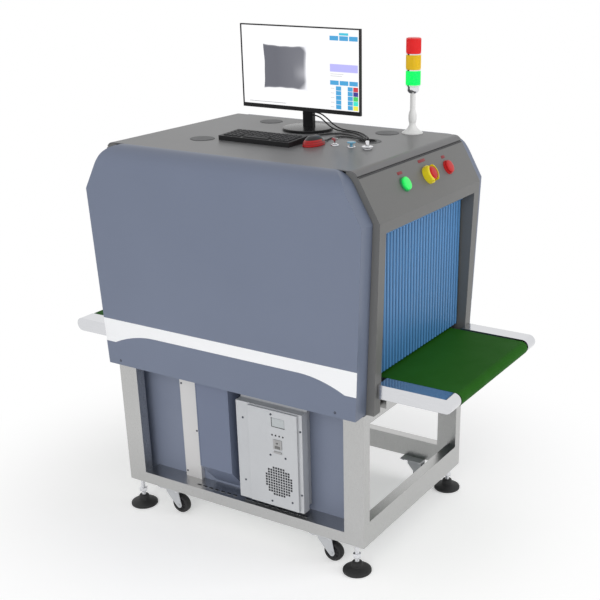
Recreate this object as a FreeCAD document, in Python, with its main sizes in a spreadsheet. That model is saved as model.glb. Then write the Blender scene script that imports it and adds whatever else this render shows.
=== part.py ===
import FreeCAD, Part
import math
import os

import Sketcher

# Belt-fed x-ray inspection machine. Millimetres, +Z up. The belt runs along X, and +X is the
# outfeed end with the control console. The front, with the keyboard side, faces -Y. The origin is
# on the floor under the middle of the tunnel.

Vec = FreeCAD.Vector
Rotation = FreeCAD.Rotation
ALONG_X = Rotation(Vec(0, 1, 0), 90)
ALONG_Y = Rotation(Vec(1, 0, 0), -90)
UPRIGHT = Rotation()

# Driving dimensions: name, value, meaning.
DRIVING = [
    ("half_width", 430, "outer faces of the covers"),
    ("cover_over_leg", 50, "covers in front of the legs"),
    ("leg_width", 80, "leg tube, along X"),
    ("leg_depth", 40, "leg tube, along Y"),
    ("tube_wall", 3, "wall of every frame tube"),
    ("leg_reach_x", 532, "outer faces of the legs, from the middle"),
    ("leg_reach_y", "=half_width - cover_over_leg", "outer faces of the legs, from the middle"),
    ("leg_foot", 112, "height of the legs' lower ends"),
    ("frame_top", 620, "top of the base frame"),
    ("end_rail_tall", 90, "lower end rails"),
    ("rear_rail_tall", 80, "lower rear rail"),
    ("front_rail_tall", 45, "lower front rail, laid flat"),
    ("front_rail_deep", 80, "lower front rail, along Y"),
    ("upper_rail_tall", 40, "upper rails"),
    ("foot_plate", 6, "plate that closes a leg and guides its foot"),
    ("foot_radius", 52, "levelling pad"),
    ("foot_stem", 8, "radius of the foot's threaded stem"),
    ("foot_stem_length", 148, "stem above the pad"),
    ("foot_nut", 16.5, "half width of the lock nut"),
    ("foot_nut_tall", 16, "lock nut"),
    ("foot_nut_rise", 58, "lock nut above the floor"),
    ("running_gap", 0.06, "radial gap of shafts in their bores"),
    ("seat_gap", 0.3, "gap between pieces that move past each other"),
    ("caster_x", 350, "swivel axes from the middle"),
    ("caster_inset", 38, "swivel axes behind the legs' outer faces"),
    ("caster_y", "=leg_reach_y - caster_inset", "swivel axes from the middle"),
    ("caster_plate_x", 92, "caster top plate"),
    ("caster_plate_y", 76, "caster top plate"),
    ("caster_plate_thick", 4, "caster top plate"),
    ("caster_trail", 36, "wheel axis behind the swivel axis"),
    ("wheel_radius", 37.5, "caster wheel"),
    ("wheel_width", 28, "caster wheel"),
    ("wheel_lift", 4, "wheels above the floor while the feet carry"),
    ("axle_radius", 5, "caster axle"),
    ("swivel_pin", 6, "caster swivel pin"),
    ("fork_sheet", 3, "fork cheeks"),
    ("skin_sheet", 2, "folded sheet covers"),
    ("column_left", -170, "duct column, left side"),
    ("column_width", 146, "duct column"),
    ("column_deep", 85, "duct column in front of its panel"),
    ("column_foot", 262, "height where its face starts to slope back"),
    ("column_heel", 165, "height where the slope meets the panel"),
    ("wireway_left", -300, "flat wiring cover"),
    ("wireway_width", 75, "flat wiring cover"),
    ("wireway_deep", 18, "flat wiring cover"),
    ("cabinet_left", 57, "drive cabinet, left side"),
    ("cabinet_width", 208, "drive cabinet"),
    ("cabinet_foot", 182, "drive cabinet, lower end"),
    ("cabinet_tall", 378, "drive cabinet"),
    ("cabinet_deep", 82, "drive cabinet in front of its panel"),
    ("flange_left", 58, "cabinet flange beyond its left side"),
    ("flange_right", 15, "cabinet flange beyond its right side"),
    ("flange_back", 42, "flange behind the cabinet's face"),
    ("fan_x", 182, "fan axis"),
    ("fan_z", 284, "fan axis"),
    ("fan_radius", 49, "fan blades"),
    ("fan_hub", 15, "fan hub"),
    ("fan_pin", 3, "fan spindle"),
    ("vent_pitch", 10.6, "square vents, centre to centre"),
    ("vent_hole", 8, "square vents"),
    ("display_left", 159, "display window of the cabinet"),
    ("display_foot", 500, "display window of the cabinet"),
    ("display_wide", 54, "display window of the cabinet"),
    ("display_tall", 34, "display window of the cabinet"),
    ("kink_height", 1265, "height where the ends start to slope"),
    ("deck_top", 1418, "top of the deck"),
    ("cover_half", 555, "front and rear covers, half length at the kink"),
    ("cover_taper", 25, "how far each cover end draws in at the bottom"),
    ("hood_half", 580, "end housings, half length at the kink"),
    ("hood_taper", 20, "how far each end housing draws in at the bottom"),
    ("slope_angle", 60, "slope of the consoles, degrees from level"),
    ("shoulder_radius", 80, "covers' round between slope and deck"),
    ("deck_bend", 30, "deck sheet's round between slope and deck"),
    ("cover_deep", 68, "depth of a cover"),
    ("roll_radius", 66, "round between cover face and deck"),
    ("cover_wall", 3, "wall of the covers and the housings"),
    ("groove", 5, "gap between deck and consoles"),
    ("hood_gap", 1, "between the end housings and the covers"),
    ("post_width", 41, "end posts, along Y"),
    ("tunnel_half", "=half_width - cover_deep - hood_gap - post_width", "half width of the tunnel"),
    ("tunnel_top", 1230, "roof of the tunnel"),
    ("hood_deep", 100, "end housings, along X at the kink"),
    ("lead_wall", 4, "shielded tunnel walls"),
    ("beam_slot", 8, "slot for the fan beam"),
    ("belt_top", 727, "top of the belt"),
    ("belt_thick", 2, "belt"),
    ("bed_clear", 40, "slider bed to the tunnel wall"),
    ("bed_half", "=tunnel_half - bed_clear", "half width of the slider bed"),
    ("belt_margin", 8, "bed beside the belt"),
    ("belt_half", "=bed_half - belt_margin", "half width of the belt"),
    ("bed_sheet", 3, "slider bed"),
    ("bed_flange", 24, "down-turned edges of the bed"),
    ("outfeed_reach", 836, "belt tip at the outfeed end"),
    ("infeed_reach", 762, "belt tip at the infeed end"),
    ("roller_radius", 22, "end rollers"),
    ("roller_shaft", 8, "end roller shafts"),
    ("rail_width", 65, "conveyor rails, along Y"),
    ("rail_tall", 50, "conveyor rails"),
    ("rail_above", 3, "rail top above the belt"),
    ("rail_sheet", 2.5, "conveyor rails"),
    ("side_plate", 4, "conveyor side plates"),
    ("cross_bar", 30, "conveyor cross bars"),
    ("curtain_x", 530, "curtains from the middle"),
    ("curtain_clear", 6, "curtain to the tunnel wall"),
    ("curtain_half", "=tunnel_half - curtain_clear", "half width of a curtain"),
    ("curtain_foot", 736, "lower edge of a curtain"),
    ("curtain_rod", 6, "radius of the curtain rod"),
    ("curtain_sleeve", 10, "radius of the curtain's sleeve"),
    ("curtain_drop", 18, "rod axis below the tunnel roof"),
    ("strip_pitch", 20.9, "width of one curtain strip"),
    ("strip_thick", 4, "curtain strip at its ridge"),
    ("tank_half_x", 105, "generator tank"),
    ("tank_clear", 110, "generator tank to the tunnel wall's line"),
    ("tank_half_y", "=tunnel_half - tank_clear", "generator tank"),
    ("tank_tall", 138, "generator tank"),
    ("tank_foot", 12, "generator's foot sheet"),
    ("tank_margin", 20, "foot sheet beyond the tank"),
    ("tube_radius", 62, "tube head"),
    ("tube_half", "=tank_half_y - 60", "tube head, half length"),
    ("tube_height", 100, "tube axis above the tunnel roof"),
    ("collimator_half", 30, "collimator, along X"),
    ("collimator_tall", 24, "collimator"),
    ("detector_half", 32, "detector box, along X"),
    ("detector_gap", 4, "detector box to the bed and the belt"),
    ("plug_x", 252, "deck discs"),
    ("plug_front", -152, "deck disc in front"),
    ("plug_rear", 268, "deck discs, rear pair"),
    ("plug_radius", 43, "deck discs"),
    ("outlet_x", 278, "cable disc"),
    ("outlet_y", 93, "cable disc"),
    ("outlet_hole", 28, "cable hole"),
    ("screen_x", -34, "middle of the monitor"),
    ("screen_face", 140, "front of the monitor, along Y"),
    ("screen_foot", 1490, "lower edge of the monitor"),
    ("screen_wide", 500, "monitor"),
    ("screen_tall", 287, "monitor"),
    ("screen_deep", 11, "monitor rim"),
    ("screen_bezel", 5.5, "monitor frame around the glass"),
    ("screen_chin", 14, "monitor frame under the glass"),
    ("screen_hump", 31, "raised back of the monitor"),
    ("stand_y", 196, "monitor neck"),
    ("stand_radius", 92, "monitor foot"),
    ("neck_width", 42, "monitor neck"),
    ("neck_deep", 18, "monitor neck"),
    ("tilt_above", 110, "tilt axis above the monitor's lower edge"),
    ("tilt_height", "=screen_foot + tilt_above", "tilt axis of the monitor"),
    ("knuckle_radius", 11, "tilt knuckle"),
    ("tilt_pin", 4, "tilt pin"),
    ("keyboard_x", -41, "middle of the keyboard"),
    ("keyboard_y", -87, "middle of the keyboard"),
    ("keyboard_wide", 292, "keyboard"),
    ("keyboard_deep", 114, "keyboard"),
    ("keyboard_tall", 21, "keyboard at its back edge"),
    ("key_pitch", 18, "keys, centre to centre"),
    ("key_size", 15.6, "key caps"),
    ("mouse_x", 152, "middle of the mouse"),
    ("mouse_y", -62, "middle of the mouse"),
    ("mouse_long", 108, "mouse"),
    ("mouse_wide", 60, "mouse"),
    ("mouse_tall", 34, "mouse"),
    ("tower_x", 330, "signal tower"),
    ("tower_y", 312, "signal tower"),
    ("tower_foot", 38, "signal tower's foot"),
    ("lens_radius", 26.5, "signal lenses"),
    ("lens_tall", 52, "signal lenses"),
    ("lens_foot", 1581, "lowest lens"),
    ("button_rise", 86, "console buttons above the kink, along the slope"),
    ("button_start_y", -126, "start button"),
    ("button_emergency_y", 36, "emergency button"),
    ("button_stop_y", 183, "stop button"),
    ("button_bezel", 25, "bezel radius"),
    ("button_cap", 22, "button cap radius"),
    ("button_stem", 8, "button stem radius"),
    ("guard_radius", 31, "emergency button's collar"),
    ("guard_wall", 6, "emergency button's collar"),
    ("guard_tall", 26, "emergency button's collar"),
    ("guard_gap", 30, "gaps in the collar"),
    ("switch_y", -27, "small deck switches"),
    ("switch_key_x", 214, "key switch"),
    ("switch_push_x", 279, "deck push button"),
    ("switch_knob_x", 341, "deck knob"),
    ("switch_bezel", 14, "bezel radius of the deck switches"),
    ("switch_bore", 9, "bore radius of their bezels"),
    ("knob_flange", 20, "deck knob's flange"),
    ("push_head", 15, "deck push button's head"),
    ("cable_radius", 2.5, "cables on the deck"),
]

doc = FreeCAD.newDocument("xray_inspection_machine")
sheet = doc.addObject("Spreadsheet::Sheet", "Sizes")
for row, (alias, number, meaning) in enumerate(DRIVING, start=1):
    sheet.set(f"A{row}", meaning)
    sheet.set(f"B{row}", str(number))
    sheet.setAlias(f"B{row}", alias)
doc.recompute()


class Dim:
    """A length with its number and the sheet formula that gives it."""

    def __init__(self, number, text):
        self.number = float(number)
        self.text = text

    def __float__(self):
        return self.number

    def __add__(self, other):
        other = dim(other)
        return Dim(self.number + other.number, f"({self.text} + {other.text})")

    def __sub__(self, other):
        other = dim(other)
        return Dim(self.number - other.number, f"({self.text} - {other.text})")

    def __mul__(self, other):
        other = dim(other)
        return Dim(self.number * other.number, f"({self.text} * {other.text})")

    def __truediv__(self, other):
        other = dim(other)
        return Dim(self.number / other.number, f"({self.text} / {other.text})")

    def __neg__(self):
        return Dim(-self.number, f"(0 - {self.text})")

    def __radd__(self, other):
        return dim(other) + self

    def __rsub__(self, other):
        return dim(other) - self

    def __rmul__(self, other):
        return dim(other) * self


def dim(length):
    """Any number or size as a Dim."""
    if isinstance(length, Dim):
        return length
    return Dim(length, repr(float(length)))


class Sizes:
    """The driving dimensions by name."""

    def __getattr__(self, name):
        return Dim(sheet.get(name), f"Sizes.{name}")


s = Sizes()
slope = math.radians(float(s.slope_angle))
slope_run = Dim(1 / math.tan(slope), f"(1 / tan({s.slope_angle.text} * 1 deg))")
slope_sin = Dim(math.sin(slope), f"sin({s.slope_angle.text} * 1 deg)")
slope_cos = Dim(math.cos(slope), f"cos({s.slope_angle.text} * 1 deg)")

NODES = []


def node(label, item):
    """Marks an object as one sub-part of the machine, under its own name."""
    item.Label = label
    NODES.append(item)
    return item


def bind(item, name, length):
    """Ties one property of an object to the sheet."""
    length = dim(length)
    if "Sizes." in length.text:
        item.setExpression(name, length.text)
        return
    holder = item
    *path, last = name.split(".")
    for step in path:
        holder = getattr(holder, step)
    if path:
        place = item.Placement
        setattr(place.Base, last, length.number)
        item.Placement = place
        return
    setattr(holder, last, length.number)


def put(item, at, turn=UPRIGHT):
    """Places an object, each coordinate tied to the sheet."""
    item.Placement = FreeCAD.Placement(Vec(*[float(c) for c in at]), turn)
    for axis, length in zip("xyz", at):
        if "Sizes." in dim(length).text:
            item.setExpression(f"Placement.Base.{axis}", dim(length).text)
    return item


def box(name, low, high):
    """A block between two opposite corners."""
    item = doc.addObject("Part::Box", name)
    for side, a, b in zip(("Length", "Width", "Height"), low, high):
        bind(item, side, dim(b) - a)
    return put(item, low)


def rod(name, radius, length, at, turn=UPRIGHT):
    """A round bar whose first end is at the given point."""
    item = doc.addObject("Part::Cylinder", name)
    bind(item, "Radius", radius)
    bind(item, "Height", length)
    return put(item, at, turn)


def group(name, items):
    """Separate solids that share one node, or the tools of one cut."""
    item = doc.addObject("Part::Compound", name)
    item.Links = items
    return item


def cut(name, base, *tools):
    """The base less every tool."""
    item = doc.addObject("Part::Cut", name)
    item.Base = base
    item.Tool = tools[0] if len(tools) == 1 else group(name + "_tools", list(tools))
    return item


def fuse(name, *items):
    """One solid from pieces that are welded or moulded together."""
    item = doc.addObject("Part::MultiFuse", name)
    item.Shapes = list(items)
    item.Refine = True
    return item


def common(name, *items):
    """What all the items share."""
    item = doc.addObject("Part::MultiCommon", name)
    item.Shapes = list(items)
    return item


def mirror(name, source, normal):
    """A mirrored copy in a plane through the origin."""
    item = doc.addObject("Part::Mirroring", name)
    item.Source = source
    item.Normal = normal
    return item


def made(name, shape):
    """A shape that Part's own functions make from the sheet's values."""
    item = doc.addObject("Part::Feature", name)
    item.Shape = shape
    return item


def origin_plane(body, role):
    return next(part for part in body.Origin.OriginFeatures if part.Role == role)


def rounded(points):
    """Lines and tangent arcs through corners given as (x, y) or (x, y, radius)."""
    flat = [Vec(float(p[0]), float(p[1]), 0) for p in points]
    radii = [float(p[2]) if len(p) > 2 else 0.0 for p in points]
    count = len(points)
    starts, ends, arcs = [], [], []
    for i, corner in enumerate(flat):
        back = (flat[i - 1] - corner).normalize()
        on = (flat[(i + 1) % count] - corner).normalize()
        if radii[i] == 0:
            starts.append(corner)
            ends.append(corner)
            arcs.append(None)
            continue
        half = back.getAngle(on) / 2
        reach = radii[i] / math.tan(half)
        middle = corner + (back + on).normalize() * (radii[i] / math.sin(half))
        top = middle + (corner - middle).normalize() * radii[i]
        starts.append(corner + back * reach)
        ends.append(corner + on * reach)
        arcs.append(Part.Arc(corner + back * reach, top, corner + on * reach))
    pieces = []
    for i in range(count):
        if arcs[i]:
            pieces.append((arcs[i], i))
        if (starts[(i + 1) % count] - ends[i]).Length > 1e-6:
            pieces.append((Part.LineSegment(ends[i], starts[(i + 1) % count]), None))
    return pieces


def sketch_in(body, role, name, points):
    """A closed outline in a body's own plane, its corners and radii tied to the sheet."""
    sketch = body.newObject("Sketcher::SketchObject", name)
    sketch.AttachmentSupport = [(origin_plane(body, role), "")]
    sketch.MapMode = "FlatFace"
    pieces = rounded(points)
    ids = [sketch.addGeometry(piece) for piece, _ in pieces]
    plain = all(len(p) < 3 for p in points)
    if plain:
        for i in ids:
            sketch.addConstraint(Sketcher.Constraint("Coincident", i, 2, (i + 1) % len(ids), 1))
        for i, corner in enumerate(points):
            for kind, length in zip(("DistanceX", "DistanceY"), corner):
                length = dim(length)
                at = sketch.addConstraint(
                    Sketcher.Constraint(kind, -1, 1, i, 1, length.number))
                if "Sizes." in length.text:
                    sketch.setExpression(f"Constraints[{at}]", length.text)
        return sketch
    for i, (piece, corner) in zip(ids, pieces):
        if corner is None:
            continue
        radius = dim(points[corner][2])
        at = sketch.addConstraint(Sketcher.Constraint("Radius", i, radius.number))
        if "Sizes." in radius.text:
            sketch.setExpression(f"Constraints[{at}]", radius.text)
    return sketch


def slab(name, role, points, thick, at=(0, 0, 0), turn=UPRIGHT):
    """An outline thickened evenly to both sides of its plane."""
    body = doc.addObject("PartDesign::Body", name)
    sketch = sketch_in(body, role, name + "_outline", points)
    pad = body.newObject("PartDesign::Pad", name + "_pad")
    pad.Profile = sketch
    pad.SideType = "Symmetric"
    bind(pad, "Length", thick)
    return put(body, at, turn)


def turned(name, points, at=(0, 0, 0), turn=UPRIGHT):
    """A half profile of (radius, height) corners revolved about its own Z axis."""
    body = doc.addObject("PartDesign::Body", name)
    sketch = sketch_in(body, "XZ_Plane", name + "_profile", points)
    spin = body.newObject("PartDesign::Revolution", name + "_spin")
    spin.Profile = sketch
    spin.ReferenceAxis = (origin_plane(body, "Z_Axis"), [""])
    spin.Angle = 360
    return put(body, at, turn)


def hollow_bar(name, low, high, along, wall=s.tube_wall):
    """A rectangular tube, open at both ends of the axis it runs along."""
    run = "xyz".index(along)
    inner_low = [dim(c) + (0 if i == run else wall) for i, c in enumerate(low)]
    inner_high = [dim(c) - (0 if i == run else wall) for i, c in enumerate(high)]
    return cut(name, box(name + "_outside", low, high), box(name + "_inside", inner_low, inner_high))


# Base frame: four tube legs, a lower and an upper ring of tubes.
def leg(name, side_x, side_y):
    """One leg tube with the plate that its levelling foot passes through."""
    inner_x = s.leg_reach_x - s.leg_width
    inner_y = s.leg_reach_y - s.leg_depth
    low_x, high_x = (inner_x, s.leg_reach_x) if side_x > 0 else (-s.leg_reach_x, -inner_x)
    low_y, high_y = (inner_y, s.leg_reach_y) if side_y > 0 else (-s.leg_reach_y, -inner_y)
    outside = box(name + "_outside", (low_x, low_y, s.leg_foot), (high_x, high_y, s.frame_top))
    inside = box(name + "_inside", (low_x + s.tube_wall, low_y + s.tube_wall, s.leg_foot + s.foot_plate),
                 (high_x - s.tube_wall, high_y - s.tube_wall, s.frame_top))
    bore = rod(name + "_bore", s.foot_stem + s.running_gap, s.foot_plate * 2,
               (side_x * foot_x, side_y * foot_y, s.leg_foot - s.foot_plate / 2))
    return cut(name, outside, inside, bore)


foot_x = s.leg_reach_x - s.leg_width / 2
foot_y = s.leg_reach_y - s.leg_depth / 2
CORNERS = (("infeed_front", -1, -1), ("outfeed_front", 1, -1),
           ("infeed_rear", -1, 1), ("outfeed_rear", 1, 1))

legs = [leg(f"leg_{name}", sx, sy) for name, sx, sy in CORNERS]

leg_inner_x = s.leg_reach_x - s.leg_width
leg_inner_y = s.leg_reach_y - s.leg_depth
end_rail_inner = s.leg_reach_x - s.leg_depth
front_rail_back = -s.leg_reach_y + s.front_rail_deep

lower_front = hollow_bar("lower_front", (-leg_inner_x, -s.leg_reach_y, s.leg_foot),
                         (leg_inner_x, front_rail_back, s.leg_foot + s.front_rail_tall), "x")
lower_rear = hollow_bar("lower_rear", (-leg_inner_x, leg_inner_y, s.leg_foot),
                        (leg_inner_x, s.leg_reach_y, s.leg_foot + s.rear_rail_tall), "x")
lower_outfeed = hollow_bar("lower_outfeed", (end_rail_inner, -leg_inner_y, s.leg_foot),
                           (s.leg_reach_x, leg_inner_y, s.leg_foot + s.end_rail_tall), "y")
lower_infeed = mirror("lower_infeed", lower_outfeed, Vec(1, 0, 0))

upper_foot = s.frame_top - s.upper_rail_tall
upper_front = hollow_bar("upper_front", (-end_rail_inner, -leg_inner_y, upper_foot),
                         (end_rail_inner, s.leg_depth - leg_inner_y, s.frame_top), "x")
upper_rear = mirror("upper_rear", upper_front, Vec(0, 1, 0))
upper_outfeed = hollow_bar("upper_outfeed", (end_rail_inner, -leg_inner_y, upper_foot),
                           (s.leg_reach_x, leg_inner_y, s.frame_top), "y")
upper_infeed = mirror("upper_infeed", upper_outfeed, Vec(1, 0, 0))
node("base_frame", group("welded_tubes", legs + [lower_front, lower_rear, lower_outfeed, lower_infeed,
                                                upper_front, upper_rear, upper_outfeed, upper_infeed]))


# Levelling feet: a domed pad, a threaded stem and a lock nut half way up it.
def levelling_foot(name, side_x, side_y):
    """One foot, its collared pad on the floor and its stem through the leg's plate."""
    pad = turned(name + "_pad", [
        (0, 0), (s.foot_radius, 0), (s.foot_radius, 8), (s.foot_radius - 6, 14), (s.foot_stem * 2.6, 22),
        (s.foot_stem * 2.4, 38), (s.foot_stem * 1.7, 42), (0, 42)])
    stem = rod(name + "_stem", s.foot_stem, s.foot_stem_length, (0, 0, 20))
    nut = doc.addObject("Part::Prism", name + "_nut")
    nut.Polygon = 6
    bind(nut, "Circumradius", s.foot_nut)
    bind(nut, "Height", s.foot_nut_tall)
    put(nut, (0, 0, s.foot_nut_rise))
    return put(fuse(name, pad, stem, nut), (side_x * foot_x, side_y * foot_y, 0))


for corner_name, sx, sy in CORNERS:
    node(f"foot_{corner_name}", levelling_foot(f"foot_{corner_name}_raw", sx, sy))

# Casters: a top plate, a fork with its swivel pin and axle, and a wheel.
plate_foot = s.leg_foot - s.caster_plate_thick
axle_height = s.wheel_radius + s.wheel_lift
crown_top = plate_foot - s.seat_gap


def caster_plate(name, side_x, side_y):
    """One top plate, bolted under the lower rail, bored for a swivel pin at the outfeed end."""
    half_x = s.caster_plate_x / 2
    half_y = s.caster_plate_y / 2
    x, y = side_x * s.caster_x, side_y * s.caster_y
    plate = box(name + "_plate", (x - half_x, y - half_y, plate_foot), (x + half_x, y + half_y, s.leg_foot))
    if side_x < 0:
        return plate
    bore = rod(name + "_bore", s.swivel_pin + s.running_gap, s.caster_plate_thick * 2,
               (x, y, plate_foot - s.caster_plate_thick / 2))
    return cut(name, plate, bore)


def caster_fork(name, side_x, side_y, swivels):
    """A crown with two cheeks that carry the axle. A fixed fork is welded to its plate."""
    half_gap = s.wheel_width / 2 + 2
    top = crown_top if swivels else plate_foot
    crown = rod(name + "_crown", 24, top - 94, (0, 0, 94))
    front_edge = s.caster_trail + 2
    cheek_points = [(-22, 98), (-22, 86), (s.caster_trail - 13, axle_height - 6, 12),
                    (s.caster_trail, axle_height - 18, 10), (s.caster_trail + 13, axle_height - 4, 10),
                    (front_edge, 86), (front_edge, 98)]
    cheeks = [slab(f"{name}_cheek_{side}", "XZ_Plane", cheek_points, s.fork_sheet,
                   (0, sign * (half_gap + s.fork_sheet / 2), 0))
              for side, sign in (("front", -1), ("rear", 1))]
    bridge = box(name + "_bridge", (-22, -half_gap - s.fork_sheet, 94), (front_edge, half_gap + s.fork_sheet, 98))
    axle = rod(name + "_axle", s.axle_radius, (half_gap + s.fork_sheet + 3) * 2,
               (s.caster_trail, -half_gap - s.fork_sheet - 3, axle_height), ALONG_Y)
    pieces = [crown, bridge, axle] + cheeks
    if swivels:
        pieces.append(rod(name + "_pin", s.swivel_pin, s.leg_foot - s.seat_gap - 94, (0, 0, 94)))
    whole = fuse(name, *pieces)
    return put(whole, (side_x * s.caster_x, side_y * s.caster_y, 0))


def caster_wheel(name, side_x, side_y):
    """A wheel with a rounded tread, revolved about its axle."""
    bore = s.axle_radius + s.running_gap
    half = s.wheel_width / 2
    points = [(bore, -half), (11, -half), (13, 3 - half), (s.wheel_radius - 11, 3 - half),
              (s.wheel_radius - 9, -half), (s.wheel_radius - 4, -half), (s.wheel_radius, 4 - half),
              (s.wheel_radius, half - 4), (s.wheel_radius - 4, half), (s.wheel_radius - 9, half),
              (s.wheel_radius - 11, half - 3), (13, half - 3), (11, half), (bore, half)]
    return turned(name, points, (side_x * s.caster_x + s.caster_trail, side_y * s.caster_y, axle_height),
                  ALONG_Y)


mounts = []
for corner_name, sx, sy in CORNERS:
    plate = caster_plate(f"plate_{corner_name}", sx, sy)
    fork = caster_fork(f"fork_{corner_name}", sx, sy, sx > 0)
    if sx > 0:
        mounts.append(plate)
        node(f"caster_fork_{corner_name}", fork)
    else:
        mounts.append(fuse(f"fixed_{corner_name}", plate, fork))
    node(f"caster_wheel_{corner_name}", caster_wheel(f"wheel_{corner_name}", sx, sy))
node("caster_mounts", group("plates", mounts))

# Base front: a recessed skin with a duct column, a wiring cover and the drive cabinet on it.
skin_face = front_rail_back
panel_foot = s.leg_foot + 18
panel_top = s.frame_top - 20
panel_half = end_rail_inner - 2
rail_shelf = s.leg_foot + s.front_rail_tall
panel_sheet = box("panel_sheet", (-panel_half, skin_face, panel_foot),
                  (panel_half, skin_face + s.skin_sheet, panel_top))
panel_return = box("panel_return_out", (panel_half - s.skin_sheet, -leg_inner_y, rail_shelf),
                   (panel_half, skin_face + 1, upper_foot))
node("front_base_panel", fuse("panel", panel_sheet, panel_return,
                              mirror("panel_return_in", panel_return, Vec(1, 0, 0))))

column_face = skin_face - s.column_deep
column_top = s.frame_top - s.seat_gap
column_outside = slab("column_outside", "YZ_Plane", [
    (skin_face, s.column_heel), (skin_face, upper_foot), (-leg_inner_y, upper_foot),
    (-leg_inner_y, column_top), (column_face, column_top), (column_face, s.column_foot)],
    s.column_width, (s.column_left + s.column_width / 2, 0, 0))
column_inside = slab("column_inside", "YZ_Plane", [
    (skin_face, s.column_heel + s.skin_sheet * 1.6), (skin_face, upper_foot - s.skin_sheet),
    (-leg_inner_y - s.skin_sheet, upper_foot - s.skin_sheet),
    (-leg_inner_y - s.skin_sheet, column_top - s.skin_sheet),
    (column_face + s.skin_sheet, column_top - s.skin_sheet), (column_face + s.skin_sheet, s.column_foot + 1)],
    s.column_width - s.skin_sheet * 2, (s.column_left + s.column_width / 2, 0, 0))
node("duct_column", cut("column", column_outside, column_inside))

wireway_face = skin_face - s.wireway_deep
node("wireway_cover", cut("wireway", box(
    "wireway_outside", (s.wireway_left, wireway_face, rail_shelf),
    (s.wireway_left + s.wireway_width, skin_face, upper_foot)), box(
        "wireway_inside", (s.wireway_left + s.skin_sheet, wireway_face + s.skin_sheet, rail_shelf),
        (s.wireway_left + s.wireway_width - s.skin_sheet, skin_face, upper_foot))))


# Drive cabinet: a flanged box with a square-holed vent, and a fan behind the vent.
def vent_holes(name, low_y, deep):
    """Square holes in a round field, in rows and columns about the fan's axis."""
    pitch, hole = float(s.vent_pitch), float(s.vent_hole)
    reach = float(s.fan_radius)
    rows = int(reach // pitch)
    holes = []
    for i in range(-rows, rows + 1):
        for k in range(-rows, rows + 1):
            if math.hypot(i * pitch, k * pitch) > reach - hole / 4:
                continue
            corner = Vec(float(s.fan_x) + i * pitch - hole / 2, float(low_y), float(s.fan_z) + k * pitch - hole / 2)
            holes.append(Part.makeBox(hole, float(deep), hole, corner))
    return made(name, Part.makeCompound(holes))


cabinet_face = skin_face - s.cabinet_deep
cabinet_right = s.cabinet_left + s.cabinet_width
cabinet_top = s.cabinet_foot + s.cabinet_tall
flange_face = cabinet_face + s.flange_back
cabinet_shell = cut("cabinet_shell", fuse("cabinet_block", box(
    "cabinet_outside", (s.cabinet_left, cabinet_face, s.cabinet_foot), (cabinet_right, skin_face, cabinet_top)), box(
        "cabinet_flange", (s.cabinet_left - s.flange_left, flange_face, s.cabinet_foot - 6),
        (cabinet_right + s.flange_right, flange_face + s.skin_sheet, cabinet_top + 14))), box(
            "cabinet_inside", (s.cabinet_left + s.skin_sheet, cabinet_face + s.skin_sheet, s.cabinet_foot + s.skin_sheet),
            (cabinet_right - s.skin_sheet, skin_face - s.skin_sheet, cabinet_top - s.skin_sheet)),
    vent_holes("vents", cabinet_face - 1, s.skin_sheet + 2),
    box("display_recess", (s.display_left, cabinet_face - 1, s.display_foot),
        (s.display_left + s.display_wide, cabinet_face + 1, s.display_foot + s.display_tall)))
fan_front = cabinet_face + s.skin_sheet + 6
fan_post_end = fan_front + 22
fan_post = rod("fan_post", s.fan_hub - 2, skin_face - 1 - fan_post_end - s.seat_gap,
               (s.fan_x, fan_post_end + s.seat_gap, s.fan_z), ALONG_Y)
fan_spindle = rod("fan_spindle", s.fan_pin, skin_face - 1 - fan_front - 4,
                  (s.fan_x, fan_front + 4, s.fan_z), ALONG_Y)
node("drive_cabinet", fuse("cabinet", cabinet_shell, fan_post, fan_spindle))


def fan_rotor(name):
    """A hub with pitched blades on a spindle along Y."""
    hub_radius, reach, width = float(s.fan_hub), float(s.fan_radius) - 1, 20.0
    hub = Part.makeCylinder(hub_radius, 22)
    blades = []
    for k in range(7):
        blade = Part.makeBox(reach - hub_radius + 3, 1.6, width / math.cos(math.radians(40)) * 0.8)
        blade.translate(Vec(hub_radius - 3, -0.8, -width / 2))
        blade.rotate(Vec(0, 0, 0), Vec(1, 0, 0), 40)
        blade.translate(Vec(0, 0, 11))
        blade.rotate(Vec(0, 0, 0), Vec(0, 0, 1), 360 / 7 * k)
        blades.append(blade)
    trim = Part.makeCylinder(reach, 22)
    solid = hub.fuse(blades).common(trim)
    solid = solid.cut(Part.makeCylinder(float(s.fan_pin + s.running_gap), 19, Vec(0, 0, 3))).removeSplitter()
    return put(made(name, solid), (s.fan_x, fan_front, s.fan_z), ALONG_Y)


node("fan_rotor", fan_rotor("fan"))

# Front and rear covers: where an end-on profile with sloping shoulders meets a side-on profile
# with a large round, hollowed from behind.
cover_bottom = s.frame_top


def shoulder_points(half, inset):
    """The covers' outline in XZ: tapered ends, sloping shoulders and rounds into the deck."""
    foot = half - s.cover_taper
    corner = half - (s.deck_top - s.kink_height) * slope_run
    slip = inset / slope_sin
    top = s.deck_top - inset
    top_corner = corner - slip + inset * slope_run
    bottom = cover_bottom + inset
    radius = s.shoulder_radius - inset
    return [(inset - foot, bottom), (foot - inset, bottom), (half - inset, s.kink_height, 6),
            (top_corner, top, radius), (-top_corner, top, radius), (inset - half, s.kink_height, 6)]


def roll_points(inset):
    """The covers' outline in YZ: a flat face that rolls over into the deck."""
    back = -s.half_width + s.cover_deep
    face = -s.half_width + inset
    bottom = cover_bottom + inset
    return [(face, bottom), (back + inset, bottom), (back + inset, s.deck_top - inset),
            (face, s.deck_top - inset, s.roll_radius - inset)]


def housing(name, inset):
    """The cover's outside at no inset, and its hollow at one wall."""
    ends = slab(name + "_ends", "XZ_Plane", shoulder_points(s.cover_half, inset), s.half_width * 3)
    face = slab(name + "_face", "YZ_Plane", roll_points(inset), s.hood_half * 3)
    return common(name, ends, face)


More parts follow.
